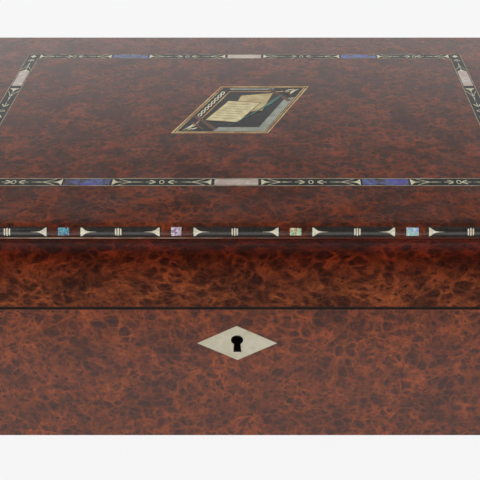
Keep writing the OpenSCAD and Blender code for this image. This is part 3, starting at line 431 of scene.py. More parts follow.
def shell_finish(name, colours, scale, rough, coat=0.4):
    made, tree, shader = material(name)
    tones = [srgb(*colour) for colour in colours]
    lustre = use(tree, SHELL, dict(zip(("First", "Second", "Third", "Fourth"), tones), Scale=scale))
    tree.links.new(lustre["Color"], shader.inputs["Base Color"])
    shader.inputs["Roughness"].default_value = rough
    shader.inputs["Coat Weight"].default_value = coat
    shader.inputs["Coat Roughness"].default_value = 0.12
    bump(tree, shader, lustre["Height"], 0.12, 0.0002)
    return made


def metal_finish(name, bright, dull, rough, stretch=(900.0, 60.0, 900.0), tarnish=0.5, depth=0.25):
    made, tree, shader = material(name)
    grain = use(tree, GRAIN, {"Stretch": stretch})
    wear_and_highlight = use(tree, WEAR)
    tree.links.new(blend(tree, times(tree, grain["Tarnish"], tarnish), bright, dull), shader.inputs["Base Color"])
    shader.inputs["Metallic"].default_value = 1.0
    level = plus(tree, times(tree, grain["Lines"], 0.16), times(tree, wear_and_highlight["Smudge"], 0.10))
    tree.links.new(plus(tree, level, rough), shader.inputs["Roughness"])
    bump(tree, shader, grain["Lines"], depth, 0.00008)
    return made


def plain_finish(name, colour, other, rough, scale=300.0, coat=0.0, depth=0.1):
    """A close-grained stuff whose tone drifts between two near colours."""
    made, tree, shader = material(name)
    place = here(tree)
    drift = noise(tree, place, scale, 5.0, 0.6)
    wear_and_highlight = use(tree, WEAR)
    tone = blend(tree, span(tree, drift, 0.35, 0.65), srgb(*colour), srgb(*other))
    tree.links.new(tone, shader.inputs["Base Color"])
    tree.links.new(plus(tree, times(tree, wear_and_highlight["Smudge"], 0.12), rough), shader.inputs["Roughness"])
    shader.inputs["Coat Weight"].default_value = coat
    bump(tree, shader, drift, depth, 0.0002)
    return made


CASE_TONES = dict(network=srgb(114, 54, 32), ember=srgb(174, 84, 40), eye=srgb(52, 32, 30), cloud=srgb(60, 32, 25),
                  cloudiness=0.45, scuffed=0.5)
BURR_CASE = burr_finish("burr_case", **CASE_TONES)
BURR_ENDS = burr_finish("burr_ends", along=GRAIN_Y, **CASE_TONES)
BURR_LID = burr_finish("burr_lid", srgb(94, 39, 18), srgb(142, 60, 24), srgb(42, 24, 19), srgb(46, 23, 16), 0.70,
                       1.0, (1.1, 1.15, 1.0), 1.0, top=LID_Z1 * MM)
# The mouldings' height range darkens them upwards as painted shade under the lip.
RAIL_TONES = dict(network=srgb(110, 58, 40), ember=srgb(172, 90, 52), eye=srgb(50, 32, 29), cloud=srgb(48, 28, 23),
                  cloudiness=0.65, scuffed=0.4, draw=(0.8, 1.0, 1.0), under_lip_shade=(0.086, 0.118), top=LID_Z1 * MM)
BURR_RAIL = burr_finish("burr_moulding", **RAIL_TONES)
BURR_RAIL_ENDS = burr_finish("burr_end_moulding", along=GRAIN_Y, **RAIL_TONES)
PINE = wood_finish("plain_wood", srgb(196, 152, 100), srgb(150, 104, 62), 0.42)
PINE_ENDS = wood_finish("plain_wood_across", srgb(190, 146, 96), srgb(146, 102, 60), 0.42, GRAIN_Y)
EBONY = plain_finish("ebonised_wood", (37, 33, 30), (49, 43, 38), 0.22, 500.0, 0.5)
PEARL = shell_finish("pearl", [(232, 222, 194), (208, 202, 178), (238, 232, 210), (214, 194, 172)], 260.0, 0.22)
BAND_PEARL = shell_finish("band_pearl", [(220, 212, 176), (196, 190, 156), (228, 222, 194), (206, 190, 160)],
                          220.0, 0.26)
BAND_BLACK = plain_finish("band_black", (18, 19, 17), (28, 27, 24), 0.24, 400.0)
PLAQUE = shell_finish("pink_pearl", [(196, 180, 166), (180, 162, 148), (204, 192, 180), (184, 160, 152)], 48.0, 0.2)
LOZENGE = shell_finish("escutcheon_pearl", [(212, 204, 178), (208, 200, 174), (216, 209, 186), (204, 195, 168)],
                       40.0, 0.3)
BLUE_SHELL = shell_finish("blue_shell", [(62, 54, 56), (92, 106, 158), (74, 62, 64), (90, 78, 160)], 64.0, 0.24, 0.1)
SQUARE_SHELLS = [shell_finish(name, tones, scale, 0.2) for name, scale, tones in (
    ("blue_square", 230.0, ((78, 150, 176), (60, 84, 110), (120, 190, 196), (96, 96, 140))),
    ("lilac_square", 260.0, ((214, 196, 214), (150, 122, 160), (236, 226, 232), (120, 96, 110))),
    ("green_square", 240.0, ((140, 186, 130), (226, 226, 200), (90, 140, 96), (196, 128, 72))),
    ("mint_square", 220.0, ((176, 216, 186), (140, 176, 214), (220, 226, 214), (150, 190, 150))))]
PALE_LINE = plain_finish("pale_line", (186, 176, 150), (150, 134, 108), 0.34, 160.0)
GOLD_LINE = plain_finish("gold_line", (214, 184, 128), (172, 124, 80), 0.34, 90.0)
# Near black, used only as painted shade inside the keyhole.
BLACK = plain_finish("keyhole_shade_black", (10, 9, 9), (16, 14, 13), 0.6, 300.0)
PEWTER = plain_finish("pewter_band", (162, 166, 150), (138, 142, 128), 0.34, 240.0)
PAPER = plain_finish("sheet_inlay", (226, 214, 168), (200, 184, 136), 0.4, 200.0)
PAPER_BACK = plain_finish("back_sheet_inlay", (206, 190, 140), (178, 158, 112), 0.4, 160.0)
QUILL = plain_finish("quill_inlay", (84, 128, 112), (52, 84, 78), 0.3, 500.0)
FIELD = plain_finish("dark_field", (18, 18, 20), (30, 26, 26), 0.24, 160.0)
BROWN_BAR = plain_finish("brown_bar", (112, 76, 58), (82, 54, 42), 0.3, 240.0)
BRASS = metal_finish("brass", (0.80, 0.60, 0.28, 1), (0.50, 0.33, 0.14, 1), 0.16)
BED = metal_finish("bed_brass", (0.74, 0.55, 0.28, 1), (0.52, 0.35, 0.16, 1), 0.26, (30.0, 900.0, 900.0))
DRUM = metal_finish("cylinder_brass", (0.84, 0.66, 0.34, 1), (0.6, 0.42, 0.2, 1), 0.14, (1400.0, 30.0, 30.0))
STEEL = metal_finish("steel", (0.56, 0.57, 0.59, 1), (0.34, 0.33, 0.33, 1), 0.2)
COMB = metal_finish("comb_steel", (0.62, 0.63, 0.65, 1), (0.4, 0.4, 0.41, 1), 0.22, (40.0, 1400.0, 900.0))
BLUED = metal_finish("blued_spring", (0.10, 0.14, 0.28, 1), (0.2, 0.17, 0.16, 1), 0.24)
CEMENT = plain_finish("cement", (120, 92, 76), (92, 68, 54), 0.7, 700.0, depth=0.5)
BONE = plain_finish("bone", (232, 220, 190), (214, 196, 156), 0.3, 120.0, 0.2)
RIM = plain_finish("pale_rim", (226, 220, 200), (200, 192, 170), 0.3, 300.0)
# Near-black painted shadow for the seam between case and lid.
SHADOW_LINE = plain_finish("painted_seam_shadow", (22, 15, 13), (16, 11, 10), 0.6, 300.0)


def glass_finish():
    made, tree, shader = material("clear_glass")
    shader.inputs["Base Color"].default_value = (0.93, 0.98, 0.97, 1.0)
    shader.inputs["Transmission Weight"].default_value = 1.0
    shader.inputs["IOR"].default_value = 1.45
    wear_and_highlight = use(tree, WEAR)
    tree.links.new(times(tree, wear_and_highlight["Smudge"], 0.06), shader.inputs["Roughness"])
    return made


GLASS = glass_finish()


def lip_line_finish():
    """A pale stringing under the lip, its paleness partly a painted highlight on the lip's lower edge, fading to
    red-brown towards the right.
    """
    made, tree, shader = material("lip_line")
    place = here(tree)
    ragged = plus(tree, axis(tree, "X"), times(tree, noise(tree, place, 70.0, 3.0), 0.08))
    # Painted highlight: pale on the left and fading out to the right, partly also the stringing worn back.
    wear_and_highlight = span(tree, ragged, -0.06, 0.10)
    drift = span(tree, noise(tree, place, 130.0, 3.0), 0.35, 0.65)
    pale = blend(tree, drift, srgb(186, 170, 150), srgb(146, 116, 96))
    tree.links.new(blend(tree, wear_and_highlight, pale, srgb(96, 48, 32)), shader.inputs["Base Color"])
    tree.links.new(plus(tree, times(tree, wear_and_highlight, 0.1), 0.3), shader.inputs["Roughness"])
    return made


LIP_LINE = lip_line_finish()

DRESS = {
    BURR_CASE: ["front_board", "back_board"],
    BURR_ENDS: ["left_end", "right_end"],
    BURR_LID: ["lid_panel", "lid_back_rail"],
    PINE: ["base_board", "back_ledge", "bedplate_blocks"],
    PINE_ENDS: ["left_partition", "right_partition"],
    EBONY: ["glass_frame"],
    BAND_BLACK: ["lid_border_inlay"],
    FIELD: ["lid_centre_panel"],
    LOZENGE: ["escutcheon"],
    BRASS: ["lock_case", "lock_link_plate", "case_hinge_leaves", "lid_hinge_leaves", "glass_hinge_leaves",
            "ledge_hinge_leaves", "glass_knob", "comb_base", "cylinder_caps", "cylinder_wheels", "left_bridge",
            "middle_bridge", "right_bracket", "barrel_drum", "barrel_cap", "governor_frame",
            "governor_first_wheel", "governor_second_wheel", "governor_cock", "control_plate"],
    BED: ["bedplate"],
    DRUM: ["pin_cylinder"],
    STEEL: ["lock_bolt", "hinge_pins", "bedplate_bolts", "comb_screws", "cylinder_arbor", "barrel_arbor",
            "ratchet_wheels", "click", "winding_lever", "lever_pawl", "endless_screw", "fly", "start_lever",
            "change_lever"],
    COMB: ["comb"],
    BLUED: ["mainspring"],
    CEMENT: ["cylinder_filling"],
    GLASS: ["glass_pane"],
    BONE: ["lever_grip"],
}
for finish, names in DRESS.items():
    for name in names:
        mesh = NODES[name].data
        for i in range(max(1, len(mesh.materials))):
            if len(mesh.materials) <= i:
                mesh.materials.append(finish)
            else:
                mesh.materials[i] = finish


# ---- Lid mouldings and edging ----
def rail_profile():
    """The rail's section, u out from the body face and v up: a flat, a hollow arc, a lip and the wood behind."""
    radius = (COVE_H ** 2 + OVERHANG ** 2) / (2 * OVERHANG)
    lip_z = ROLL_Z - LIP_H
    turn = np.linspace(0.0, math.asin(COVE_H / radius), 28)
    cove = np.stack([radius - radius * np.cos(turn), lip_z - COVE_H + radius * np.sin(turn)], -1)
    low = LID_Z0 + 0.04
    tail = [[OVERHANG, ROLL_Z], [OVERHANG - ROLL_R, ROLL_Z], [OVERHANG - ROLL_R, LID_Z1], [0, LID_Z1],
            [0, PANEL_Z], [-WALL, PANEL_Z], [-WALL, low]]
    return np.concatenate([[[0, low]], cove, tail])


def swept(profile, ends):
    """A closed section carried in a straight line between two ends, whose faces may be mitred."""
    count = len(profile)
    verts = np.concatenate(ends)
    i = np.arange(count)
    j = (i + 1) % count
    quads = np.stack([i, j, j + count, i + count], -1).tolist()
    return verts, quads + [list(range(count))[::-1], list(range(count, 2 * count))]


def front_run(profile):
    """Both ends of a run along the front, mitred: x reaches the body half width plus u."""
    u, v = profile.T
    ends = [np.stack([side * (BODY_X + u), -u, v], -1) for side in (1, -1)]
    return swept(profile, ends)


def end_run(profile, side, gap=0.0):
    """Both ends of a run along one end of the lid: mitred at the front, square at the back."""
    u, v = profile.T
    near = np.stack([side * (BODY_X + u), -u + gap, v], -1)
    far = np.stack([side * (BODY_X + u), np.full_like(u, BODY_D), v], -1)
    return swept(profile, [near, far] if side > 0 else [far, near])


def runs_joined(runs):
    """Several runs as one mesh, each run's faces counted on from the points before it."""
    points, faces, start = [], [], 0
    for verts, found in runs:
        faces += [[k + start for k in f] for f in found]
        points.append(verts)
        start += len(verts)
    return np.concatenate(points), faces


def round_runs(profile):
    """A profile carried along the front and both ends, with a hair's gap at the two mitres."""
    return runs_joined([front_run(profile), end_run(profile, -1, MITRE_GAP), end_run(profile, 1, MITRE_GAP)])


MITRE_GAP = 0.05
RAIL = rail_profile()
for name, (verts, faces), finish in (("lid_front_moulding", front_run(RAIL), BURR_RAIL),
                                     ("lid_left_moulding", end_run(RAIL, -1), BURR_RAIL_ENDS),
                                     ("lid_right_moulding", end_run(RAIL, 1), BURR_RAIL_ENDS)):
    made = piece(name, verts, faces, finish, "lid", "burr_veneer", 24)
    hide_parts(name.replace("moulding", "rail"))

bend = np.linspace(0.0, math.pi / 2, 25)
ROLL = np.concatenate([np.stack([OVERHANG - ROLL_R + ROLL_R * np.cos(bend), ROLL_Z + ROLL_R * np.sin(bend)], -1),
                       [[OVERHANG - ROLL_R, ROLL_Z]]])
made = piece("ebonised_roll", *round_runs(ROLL), EBONY, "lid", "ebonised_wood", 30)
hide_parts("lid_edging")

VENEER_DOWN = 61.0      # the lid's veneer runs over the roll's top to this angle from level
VENEER_PROUD = 0.02
over = np.radians(np.linspace(VENEER_DOWN, 90.0, 9))


def roll_arc(radius):
    """The upper part of the roll's round at one radius: u and v by cosine and sine."""
    return np.stack([OVERHANG - ROLL_R + radius * np.cos(over), ROLL_Z + radius * np.sin(over)], -1)


EDGE_VENEER = np.concatenate([roll_arc(ROLL_R + VENEER_PROUD), [[0, LID_Z1 + VENEER_PROUD], [0, LID_Z1 - 0.2]],
                              roll_arc(ROLL_R - 0.2)[::-1]])
piece("lid_edge_veneer", *round_runs(EDGE_VENEER), BURR_LID, "lid", "burr_veneer", 30)


def roll_patch(run, s, low, high, lift=PROUD, deep=SET_IN, rows=7):
    """An inlay on the roll: at each s along a run it covers the angles low to high (degrees from level)."""
    s = np.asarray(s, float)
    low, high = np.broadcast_to(low, s.shape), np.broadcast_to(high, s.shape)
    angle = np.radians(low[:, None] + (high - low)[:, None] * np.linspace(0, 1, rows)[None, :])
    along = np.broadcast_to(s[:, None], angle.shape)

    def shell(radius):
        out = OVERHANG - ROLL_R + radius * np.cos(angle)
        z = ROLL_Z + radius * np.sin(angle)
        if run == "front":
            return np.stack([along, -out, z], -1)
        side = 1 if run == "right" else -1
        return np.stack([side * (BODY_X + out), side * along + BODY_D / 2, z], -1)
    return slab(shell(ROLL_R + lift), shell(ROLL_R - deep))


def spear_half(t):
    """Half width of a spear from its base (t 0) to its point (t 1): it hollows in fast and ends fine."""
    hollow = np.maximum(1 - (t - 0.14) / 0.86, 0) ** 4.6
    return np.where(t < 0.14, 1.0 - 1.1 * t, 0.74 * hollow + 0.11 * (1 - t) + 0.015)


FRONT_BARS = [-150.0, -97.4, -49.6, 0.5, 53.2, 102.0, 150.0]
FRONT_CELLS = [-124.5, -73.1, -24.5, 26.6, 76.7, 126.0]
END_BARS = [-100.0, -50.0, 0.0, 50.0, 100.0]
END_CELLS = [-75.0, -25.0, 25.0, 75.0]
MIDDLE = 31.0           # degrees from level, the middle of the black round that shows
SPEAR_TALL = 25.0


def roll_inlays():
    """Bars, spears, burr cells and shell squares along the three runs, about every 50 mm."""
    bars, spears, burrs, shells = [], [], [], [[] for _ in SQUARE_SHELLS]
    t = np.linspace(0, 1, 18)
    for run, bar_places, cell_places in (("front", FRONT_BARS, FRONT_CELLS), ("left", END_BARS, END_CELLS),
                                         ("right", END_BARS, END_CELLS)):
        for place in bar_places:
            for off in (-1.05, 0.0, 1.05):
                s = place + off
                tall = 19 if off else 22
                reach = np.array([tall - 6, tall, tall, tall - 6])
                bars.append(roll_patch(run, [s - 0.34, s - 0.18, s + 0.18, s + 0.34], MIDDLE - reach, MIDDLE + reach))
        for k, mid in enumerate(cell_places):
            burrs.append(roll_patch(run, [mid - 6.5, mid + 6.5], 2, 89, 0.03, rows=9))
            lean = (0.45, 0.0, -0.3, 0.15)[k % 4]
            shells[(k + 3) % 4].append(roll_patch(run, np.array([mid - 2.4, mid - 2.0, mid + 2.0, mid + 2.4 + lean]),
                                                  9 + 3 * (k % 2), 52 + 3 * (k % 3), 0.07))
            for way in (-1, 1):
                s = mid + way * (7.3 + 6.8 * t)
                half = SPEAR_TALL * spear_half(t)
                if way < 0:
                    s, half = s[::-1], half[::-1]
                spears.append(roll_patch(run, s, MIDDLE - half, MIDDLE + half))
    return bars + spears, burrs, shells


bright, burrs, squares = roll_inlays()
lid_inlay("roll_pearl_inlay", bright, PEARL)
piece("roll_burr_cells", *joined(burrs), BURR_LID, "lid", "burr_veneer")
for k, (tone, found) in enumerate(zip(SQUARE_SHELLS, squares)):
    lid_inlay(f"roll_shell_squares_{k + 1}", found, tone)

# ---- Border band ----
SIDES = {
    "front": ((0, BAND_Y0), (1, 0), (0, 1), BAND_X),
    "right": ((BAND_X, (BAND_Y0 + BAND_Y1) / 2), (0, 1), (-1, 0), (BAND_Y1 - BAND_Y0) / 2),
    "back": ((0, BAND_Y1), (-1, 0), (0, -1), BAND_X),
    "left": ((-BAND_X, (BAND_Y0 + BAND_Y1) / 2), (0, -1), (1, 0), (BAND_Y1 - BAND_Y0) / 2),
}


def along_side(side):
    """Carries (s, t) on a side of the band to x and y: origin plus s along it plus t towards the middle."""
    origin, way, inward, _ = (np.array(v, float) for v in SIDES[side])

    def place(st):
        return origin + st[..., :1] * way + st[..., 1:] * inward
    return place


def motif(start, sign, place, stretch=1.0):
    """The repeat from a plaque's edge to the ring: spear, forked lines, stem and leaf-arrow."""
    made = []

    def run(d0, d1, centre, half, count=9):
        t = np.linspace(0, 1, count)
        s = start + sign * stretch * (d0 + (d1 - d0) * t)
        c, h = centre(t), half(t)
        if sign < 0:
            s, c, h = s[::-1], c[::-1], h[::-1]
        made.append(flat(s, c, h, place, LID_Z1))
    nought = np.zeros_like
    run(11.65, 16.6, nought, lambda t: 2.55 * spear_half(t) + 0.1, 12)
    run(16.2, 21.4, nought, lambda t: 0.16 + 0 * t)
    for up in (-1, 1):
        run(14.6, 21.4, lambda t: up * 2.9 * (1 - t) ** 1.35, lambda t: 0.17 + 0 * t, 12)
    run(21.2, 26.1, nought, lambda t: 0.30 * (1 - t) + 0.05)
    run(27.2, 31.2, nought, lambda t: 0.16 + 0.05 * t)
    for up in (-1, 1):
        run(29.0, 31.9, lambda t: up * 1.75 * (1 - t) ** 0.8, lambda t: 0.20 + 0.16 * np.sin(np.pi * t), 8)
    return made


def ring(at, place, rx=1.2, ry=1.7, thick=0.42):
    """A small oval ring of one thickness: cosine and sine of a full turn, at the outer and the inner size."""
    turn = np.linspace(0, 2 * math.pi, 22, endpoint=False)
    rim = np.stack([np.cos(turn), np.sin(turn)], -1)

    def loop(less, z):
        xy = place(rim * [rx - less, ry - less] + [at, 0])
        return np.concatenate([xy, np.full((len(xy), 1), z)], -1)
    top, low = LID_Z1 + PROUD, LID_Z1 + PROUD - SET_IN
    return [hoop([loop(0, top), loop(thick, top), loop(thick, low), loop(0, low)])]


def box_inlay(s0, s1, half, place, lift=PROUD):
    return flat([s0, s1], np.zeros(2), np.full(2, half), place, LID_Z1, lift)


def band_line(off):
    """A thin line right round the band at one distance from its middle, as four mitred strips."""
    made = []
    for side, (_, _, _, half) in SIDES.items():
        place = along_side(side)
        a, b = off - 0.19, off + 0.19
        corners = np.array([[-half + a, a], [half - a, a], [half - b, b], [-half + b, b]])
        made.append(quad_inlay(place(corners), LID_Z1))
    return made


PLAQUE_HALF = 2.75      # across the band
LINE_OFF = 3.4          # from the band's middle to its edge lines
BLUE_PLACE = 69.4       # from the middle of the front to a blue plaque
CORNER_PLACE = 136.0    # from the middle of the front to the band's last spear
END_PLAQUE = 44.0       # from the middle of an end to its plaques
DIAMOND = 1.9           # half a corner diamond
pale, pearl_bits, blue_bits, pink_bits = [], [], [], []
for off in (-LINE_OFF, LINE_OFF):
    pale += band_line(off)
for side in SIDES:
    place = along_side(side)
    if side in ("front", "back"):
        pink_bits.append(box_inlay(-10.2, 10.2, PLAQUE_HALF, place))
        for way in (-1, 1):
            blue = way * BLUE_PLACE
            blue_bits.append(box_inlay(blue - 10.7, blue + 10.7, PLAQUE_HALF, place))
            pearl_bits += motif(0.0, way, place) + motif(blue, -way, place)
            pearl_bits += motif(blue, way, place) + motif(way * CORNER_PLACE, -way, place, 0.98)
            pearl_bits += ring(blue / 2, place) + ring(way * 103.6, place)
    else:
        pearl_bits += ring(0.0, place)
        for way in (-1, 1):
            pink = way * END_PLAQUE
            pink_bits.append(box_inlay(pink - 10.5, pink + 10.5, PLAQUE_HALF, place))
            pearl_bits += motif(pink, -way, place, 1.22) + motif(pink, way, place, 0.92)
for sx in (-1, 1):
    for y in (BAND_Y0, BAND_Y1):
        x = sx * BAND_X
        points = DIAMOND * np.array([[0, -1], [1, 0], [0, 1], [-1, 0]]) + [x, y]
        pearl_bits.append(quad_inlay(points, LID_Z1))
lid_inlay("band_pale_lines", pale, PALE_LINE)
lid_inlay("band_pearl_inlay", pearl_bits, BAND_PEARL)
lid_inlay("band_blue_plaques", blue_bits, BLUE_SHELL)
lid_inlay("band_pink_plaques", pink_bits, PLAQUE)

# ---- Centre panel ----
PANEL_LO, PANEL_HI = (np.array(corner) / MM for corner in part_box("lid_centre_panel"))
CENTRE = (PANEL_LO + PANEL_HI)[:2] / 2 - [0.0, FRONT]
LEAN = 23.2
ACROSS = np.array([PANEL_HI[0] - PANEL_LO[0] - LEAN, 0.0])
BACKWARD = np.array([LEAN, PANEL_HI[1] - PANEL_LO[1]])


def panel_point(u, v, right=0.0, back=0.0):
    """A place in the leaning panel: u and v from 0 to 1 over its two sides, moved by millimetres."""
    lean = BACKWARD / np.linalg.norm(BACKWARD)
    return CENTRE + (u - 0.5) * ACROSS + (v - 0.5) * BACKWARD + np.array([right, 0]) + back * lean


def panel_ring(inner, outer):
    """Four mitred strips between two insets of the panel's outline, front, right, back and left."""
    slant = math.hypot(*BACKWARD) / BACKWARD[1]

    def corners(d):
        return [panel_point(0, 0, d * slant, d * slant), panel_point(1, 0, -d * slant, d * slant),
                panel_point(1, 1, -d * slant, -d * slant), panel_point(0, 1, d * slant, -d * slant)]
    a, b = corners(outer), corners(inner)
    return [[a[k], a[(k + 1) % 4], b[(k + 1) % 4], b[k]] for k in range(4)]


def cut(strip, first, last):
    """The part of a strip between two fractions of its length."""
    a, b, c, d = (np.asarray(p, float) for p in strip)
    return [a + (b - a) * first, a + (b - a) * last, d + (c - d) * last, d + (c - d) * first]


gold = [quad_inlay(s, LID_Z1) for s in panel_ring(0.95, 0.05) + panel_ring(2.1, 1.55)]
broad = panel_ring(7.0, 2.5)
inner_line = panel_ring(7.9, 7.1)
gold += [quad_inlay(inner_line[2], LID_Z1), quad_inlay(inner_line[3], LID_Z1)]
lid_inlay("panel_gold_lines", gold, GOLD_LINE)
thin = panel_ring(5.2, 3.2)
pewter = [quad_inlay(cut(broad[0], 0.40, 1.0), LID_Z1), quad_inlay(cut(broad[1], 0.0, 0.78), LID_Z1),
          quad_inlay(cut(thin[2], 0.34, 0.94), LID_Z1)]
lid_inlay("panel_pewter_band", pewter, PEWTER)


def ribbon(points, half, lift=PROUD):
    """A flat ribbon of changing half width along a drawn path."""
    points = np.asarray(points, float)
    way = np.gradient(points, axis=0)
    side = np.stack([-way[:, 1], way[:, 0]], -1) / np.linalg.norm(way, axis=1)[:, None]
    half = np.broadcast_to(half, len(points))[:, None]
    xy = np.stack([points - side * half, points + side * half], 1)
    top = np.concatenate([xy, np.full(xy.shape[:2] + (1,), LID_Z1 + lift)], -1)
    return slab(top, top - [0, 0, SET_IN + lift])


def strip_twist(strip, first, last, turns, reach):
    """Two threads crossing to and fro along a strip: sines of opposite sign about its middle."""
    a, b, c, d = (np.asarray(p, float) for p in strip)
    t = np.linspace(first, last, 12 * turns + 1)
    middle = ((a + d) / 2)[None] + ((b + c) / 2 - (a + d) / 2)[None] * t[:, None]
    across = (d - a) / np.linalg.norm(d - a)
    swing = np.sin((t - first) / (last - first) * math.pi * turns)
    return [ribbon(middle + across * (reach * sign * swing)[:, None], 0.34, PROUD + 0.01 * sign) for sign in (-1, 1)]


def leaf(root, angle, length, width):
    """A curled leaf: a bent middle line with a half width that swells and closes."""
    t = np.linspace(0, 1, 12)
    head = math.radians(angle) + 0.7 * t
    step = np.stack([np.cos(head), np.sin(head)], -1) * length / 11
    return ribbon(np.asarray(root) + np.cumsum(step, 0) - step[0], width * np.sin(np.pi * (0.06 + 0.90 * t)),
                  PROUD + 0.04)


twists = strip_twist(broad[3], 0.06, 0.70, 8, 1.1)
leaves = []
for u, v, turn in ((0.09, 0.055, 0), (0.91, 0.945, 180)):
    root = panel_point(u, v)
    leaves += [leaf(root, turn + 2, 8.5, 0.75), leaf(root, 34 + turn, 9.5, 0.85), leaf(root, -8 + turn, 6.0, 0.5),
               leaf(root, 16 + turn, 5.5, 0.45)]
lid_inlay("panel_scrolls", twists + leaves, BAND_PEARL)
bars = []
for u, v, turn in ((0.42, 0.07, 1), (0.58, 0.93, -1)):
    for start, reach, rise, half in ((0.0, 0.35, 0.27, 1.3), (0.12, 0.33, 0.16, 0.5)):
        line = [panel_point(u - start * turn, v), panel_point(u - reach * turn, v + rise * turn)]
        bars.append(ribbon(line, half, PROUD + 0.02))
lid_inlay("panel_corner_bars", bars, BROWN_BAR)


def sheet(places, lift):
    """One plain sheet as a four-cornered inlay, its corners given in the panel's own fractions."""
    return quad_inlay([panel_point(u, v) for u, v in places], LID_Z1, lift)


def grown(places, more):
    """The same four corners moved outwards from their middle."""
    places = np.array(places)
    return places.mean(0) + (places - places.mean(0)) * more


BACK_SHEET = [(0.40, 0.40), (0.72, 0.46), (0.66, 0.84), (0.34, 0.78)]
FRONT_SHEET = [(0.22, 0.26), (0.58, 0.22), (0.62, 0.62), (0.26, 0.66)]
outlines = [sheet(grown(BACK_SHEET, 1.06), PROUD), sheet(grown(FRONT_SHEET, 1.05), PROUD + 0.03)]
lid_inlay("panel_sheet_outlines", outlines, BROWN_BAR)
lid_inlay("panel_sheet_back", [sheet(BACK_SHEET, PROUD + 0.015)], PAPER_BACK)
lid_inlay("panel_sheet_front", [sheet(FRONT_SHEET, PROUD + 0.045)], PAPER)
RULE_HALF = 0.13
corners = np.array([panel_point(u, v) for u, v in FRONT_SHEET])
rules = []
for k in range(7):
    part = 0.14 + 0.12 * k
    left, right = corners[0] + (corners[3] - corners[0]) * part, corners[1] + (corners[2] - corners[1]) * part
    rule = [left + (right - left) * 0.12, left + (right - left) * (0.88 - 0.1 * (k % 2))]
    rules.append(ribbon(rule, RULE_HALF, PROUD + 0.07))
lid_inlay("panel_ruled_lines", rules, BROWN_BAR)
t = np.linspace(0, 1, 22)[:, None]
quill_top, quill_tip = panel_point(0.78, 0.80), panel_point(0.52, 0.14)
quill_line = quill_top + (quill_tip - quill_top) * t + np.array([1.6, -0.4]) * np.sin(np.pi * t)
quill_half = np.interp(t[:, 0], [0, 0.12, 0.34, 0.45, 1], [0.25, 1.25, 1.0, 0.5, 0.2])
lid_inlay("panel_quill", [ribbon(quill_line, quill_half, PROUD + 0.09)], QUILL)


# ---- Escutcheon rim, painted seam shadow lines and the lip line with its painted highlight ----
def keyhole_path(grow):
    """The keyhole's outline grown by a margin: a round head over a foot that widens."""
    box_lo, box_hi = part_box("escutcheon")
    key_z = (box_lo[2] + box_hi[2]) / 2 / MM + 2.0
    radius, foot, drop, neck = 2.95 + grow, 1.95 + grow, 7.4 + grow, 1.6 + grow
    open_angle = math.acos(min(1, neck / radius))
    turn = np.linspace(-open_angle, math.pi + open_angle, 40)
    head = np.stack([radius * np.cos(turn), radius * np.sin(turn)], -1)
    feet = np.array([[-foot, -drop], [0, -drop], [foot, -drop]])
    return np.concatenate([head, feet]) + [0, key_z]


def keyhole_ring(inner, outer, near, far):
    """A ring that follows the keyhole, between two margins and two depths behind the escutcheon's face."""
    def loop(grow, y):
        points = keyhole_path(grow)
        return np.stack([points[:, 0], np.full(len(points), face_y + y), points[:, 1]], -1)
    return hoop([loop(outer, near), loop(inner, near), loop(inner, far), loop(outer, far)])


face_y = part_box("escutcheon")[0][1] / MM - FRONT
piece("keyhole_lining", *keyhole_ring(0.0, 0.55, -0.14, 0.16), RIM, "case", "brass", 40)
# Painted shade: the keyhole's tunnel is near black so that the hole reads dark, standing in for the shade deep inside
# it.
piece("keyhole_tunnel", *keyhole_ring(-0.12, 0.0, 0.1, 9.6), BLACK, "case", "steel", 40)


def front_strip(half, y, z0, z1, count=2):
    """A thin strip across the front, 0.2 mm into the wood: x over the half length, z from z0 to z1."""
    face = np.array([[[x, y, z0], [x, y, z1]] for x in np.linspace(-half, half, count)])
    return slab(face, face + [0, 0.2, 0])


LINE_PROUD = 0.03
# Painted shadow: thin dark strips along the seam between case and lid stand in for the shade in the gap.
piece("painted_seam_shadow_case", *front_strip(BODY_X - 1.5, -LINE_PROUD, BODY_H - 0.62, BODY_H), SHADOW_LINE, "case",
      "burr_veneer")
piece("painted_seam_shadow_lid", *front_strip(BODY_X - 1.5, -LINE_PROUD, LID_Z0 + 0.04, LID_Z0 + 0.60), SHADOW_LINE, "lid",
      "burr_veneer")
# The lip line is partly a painted highlight along the lip's lower edge.
piece("lip_line", *front_strip(BODY_X + OVERHANG, -OVERHANG - LINE_PROUD, ROLL_Z - 0.62, ROLL_Z - 0.12, 41), LIP_LINE,
      "lid", "pearl")

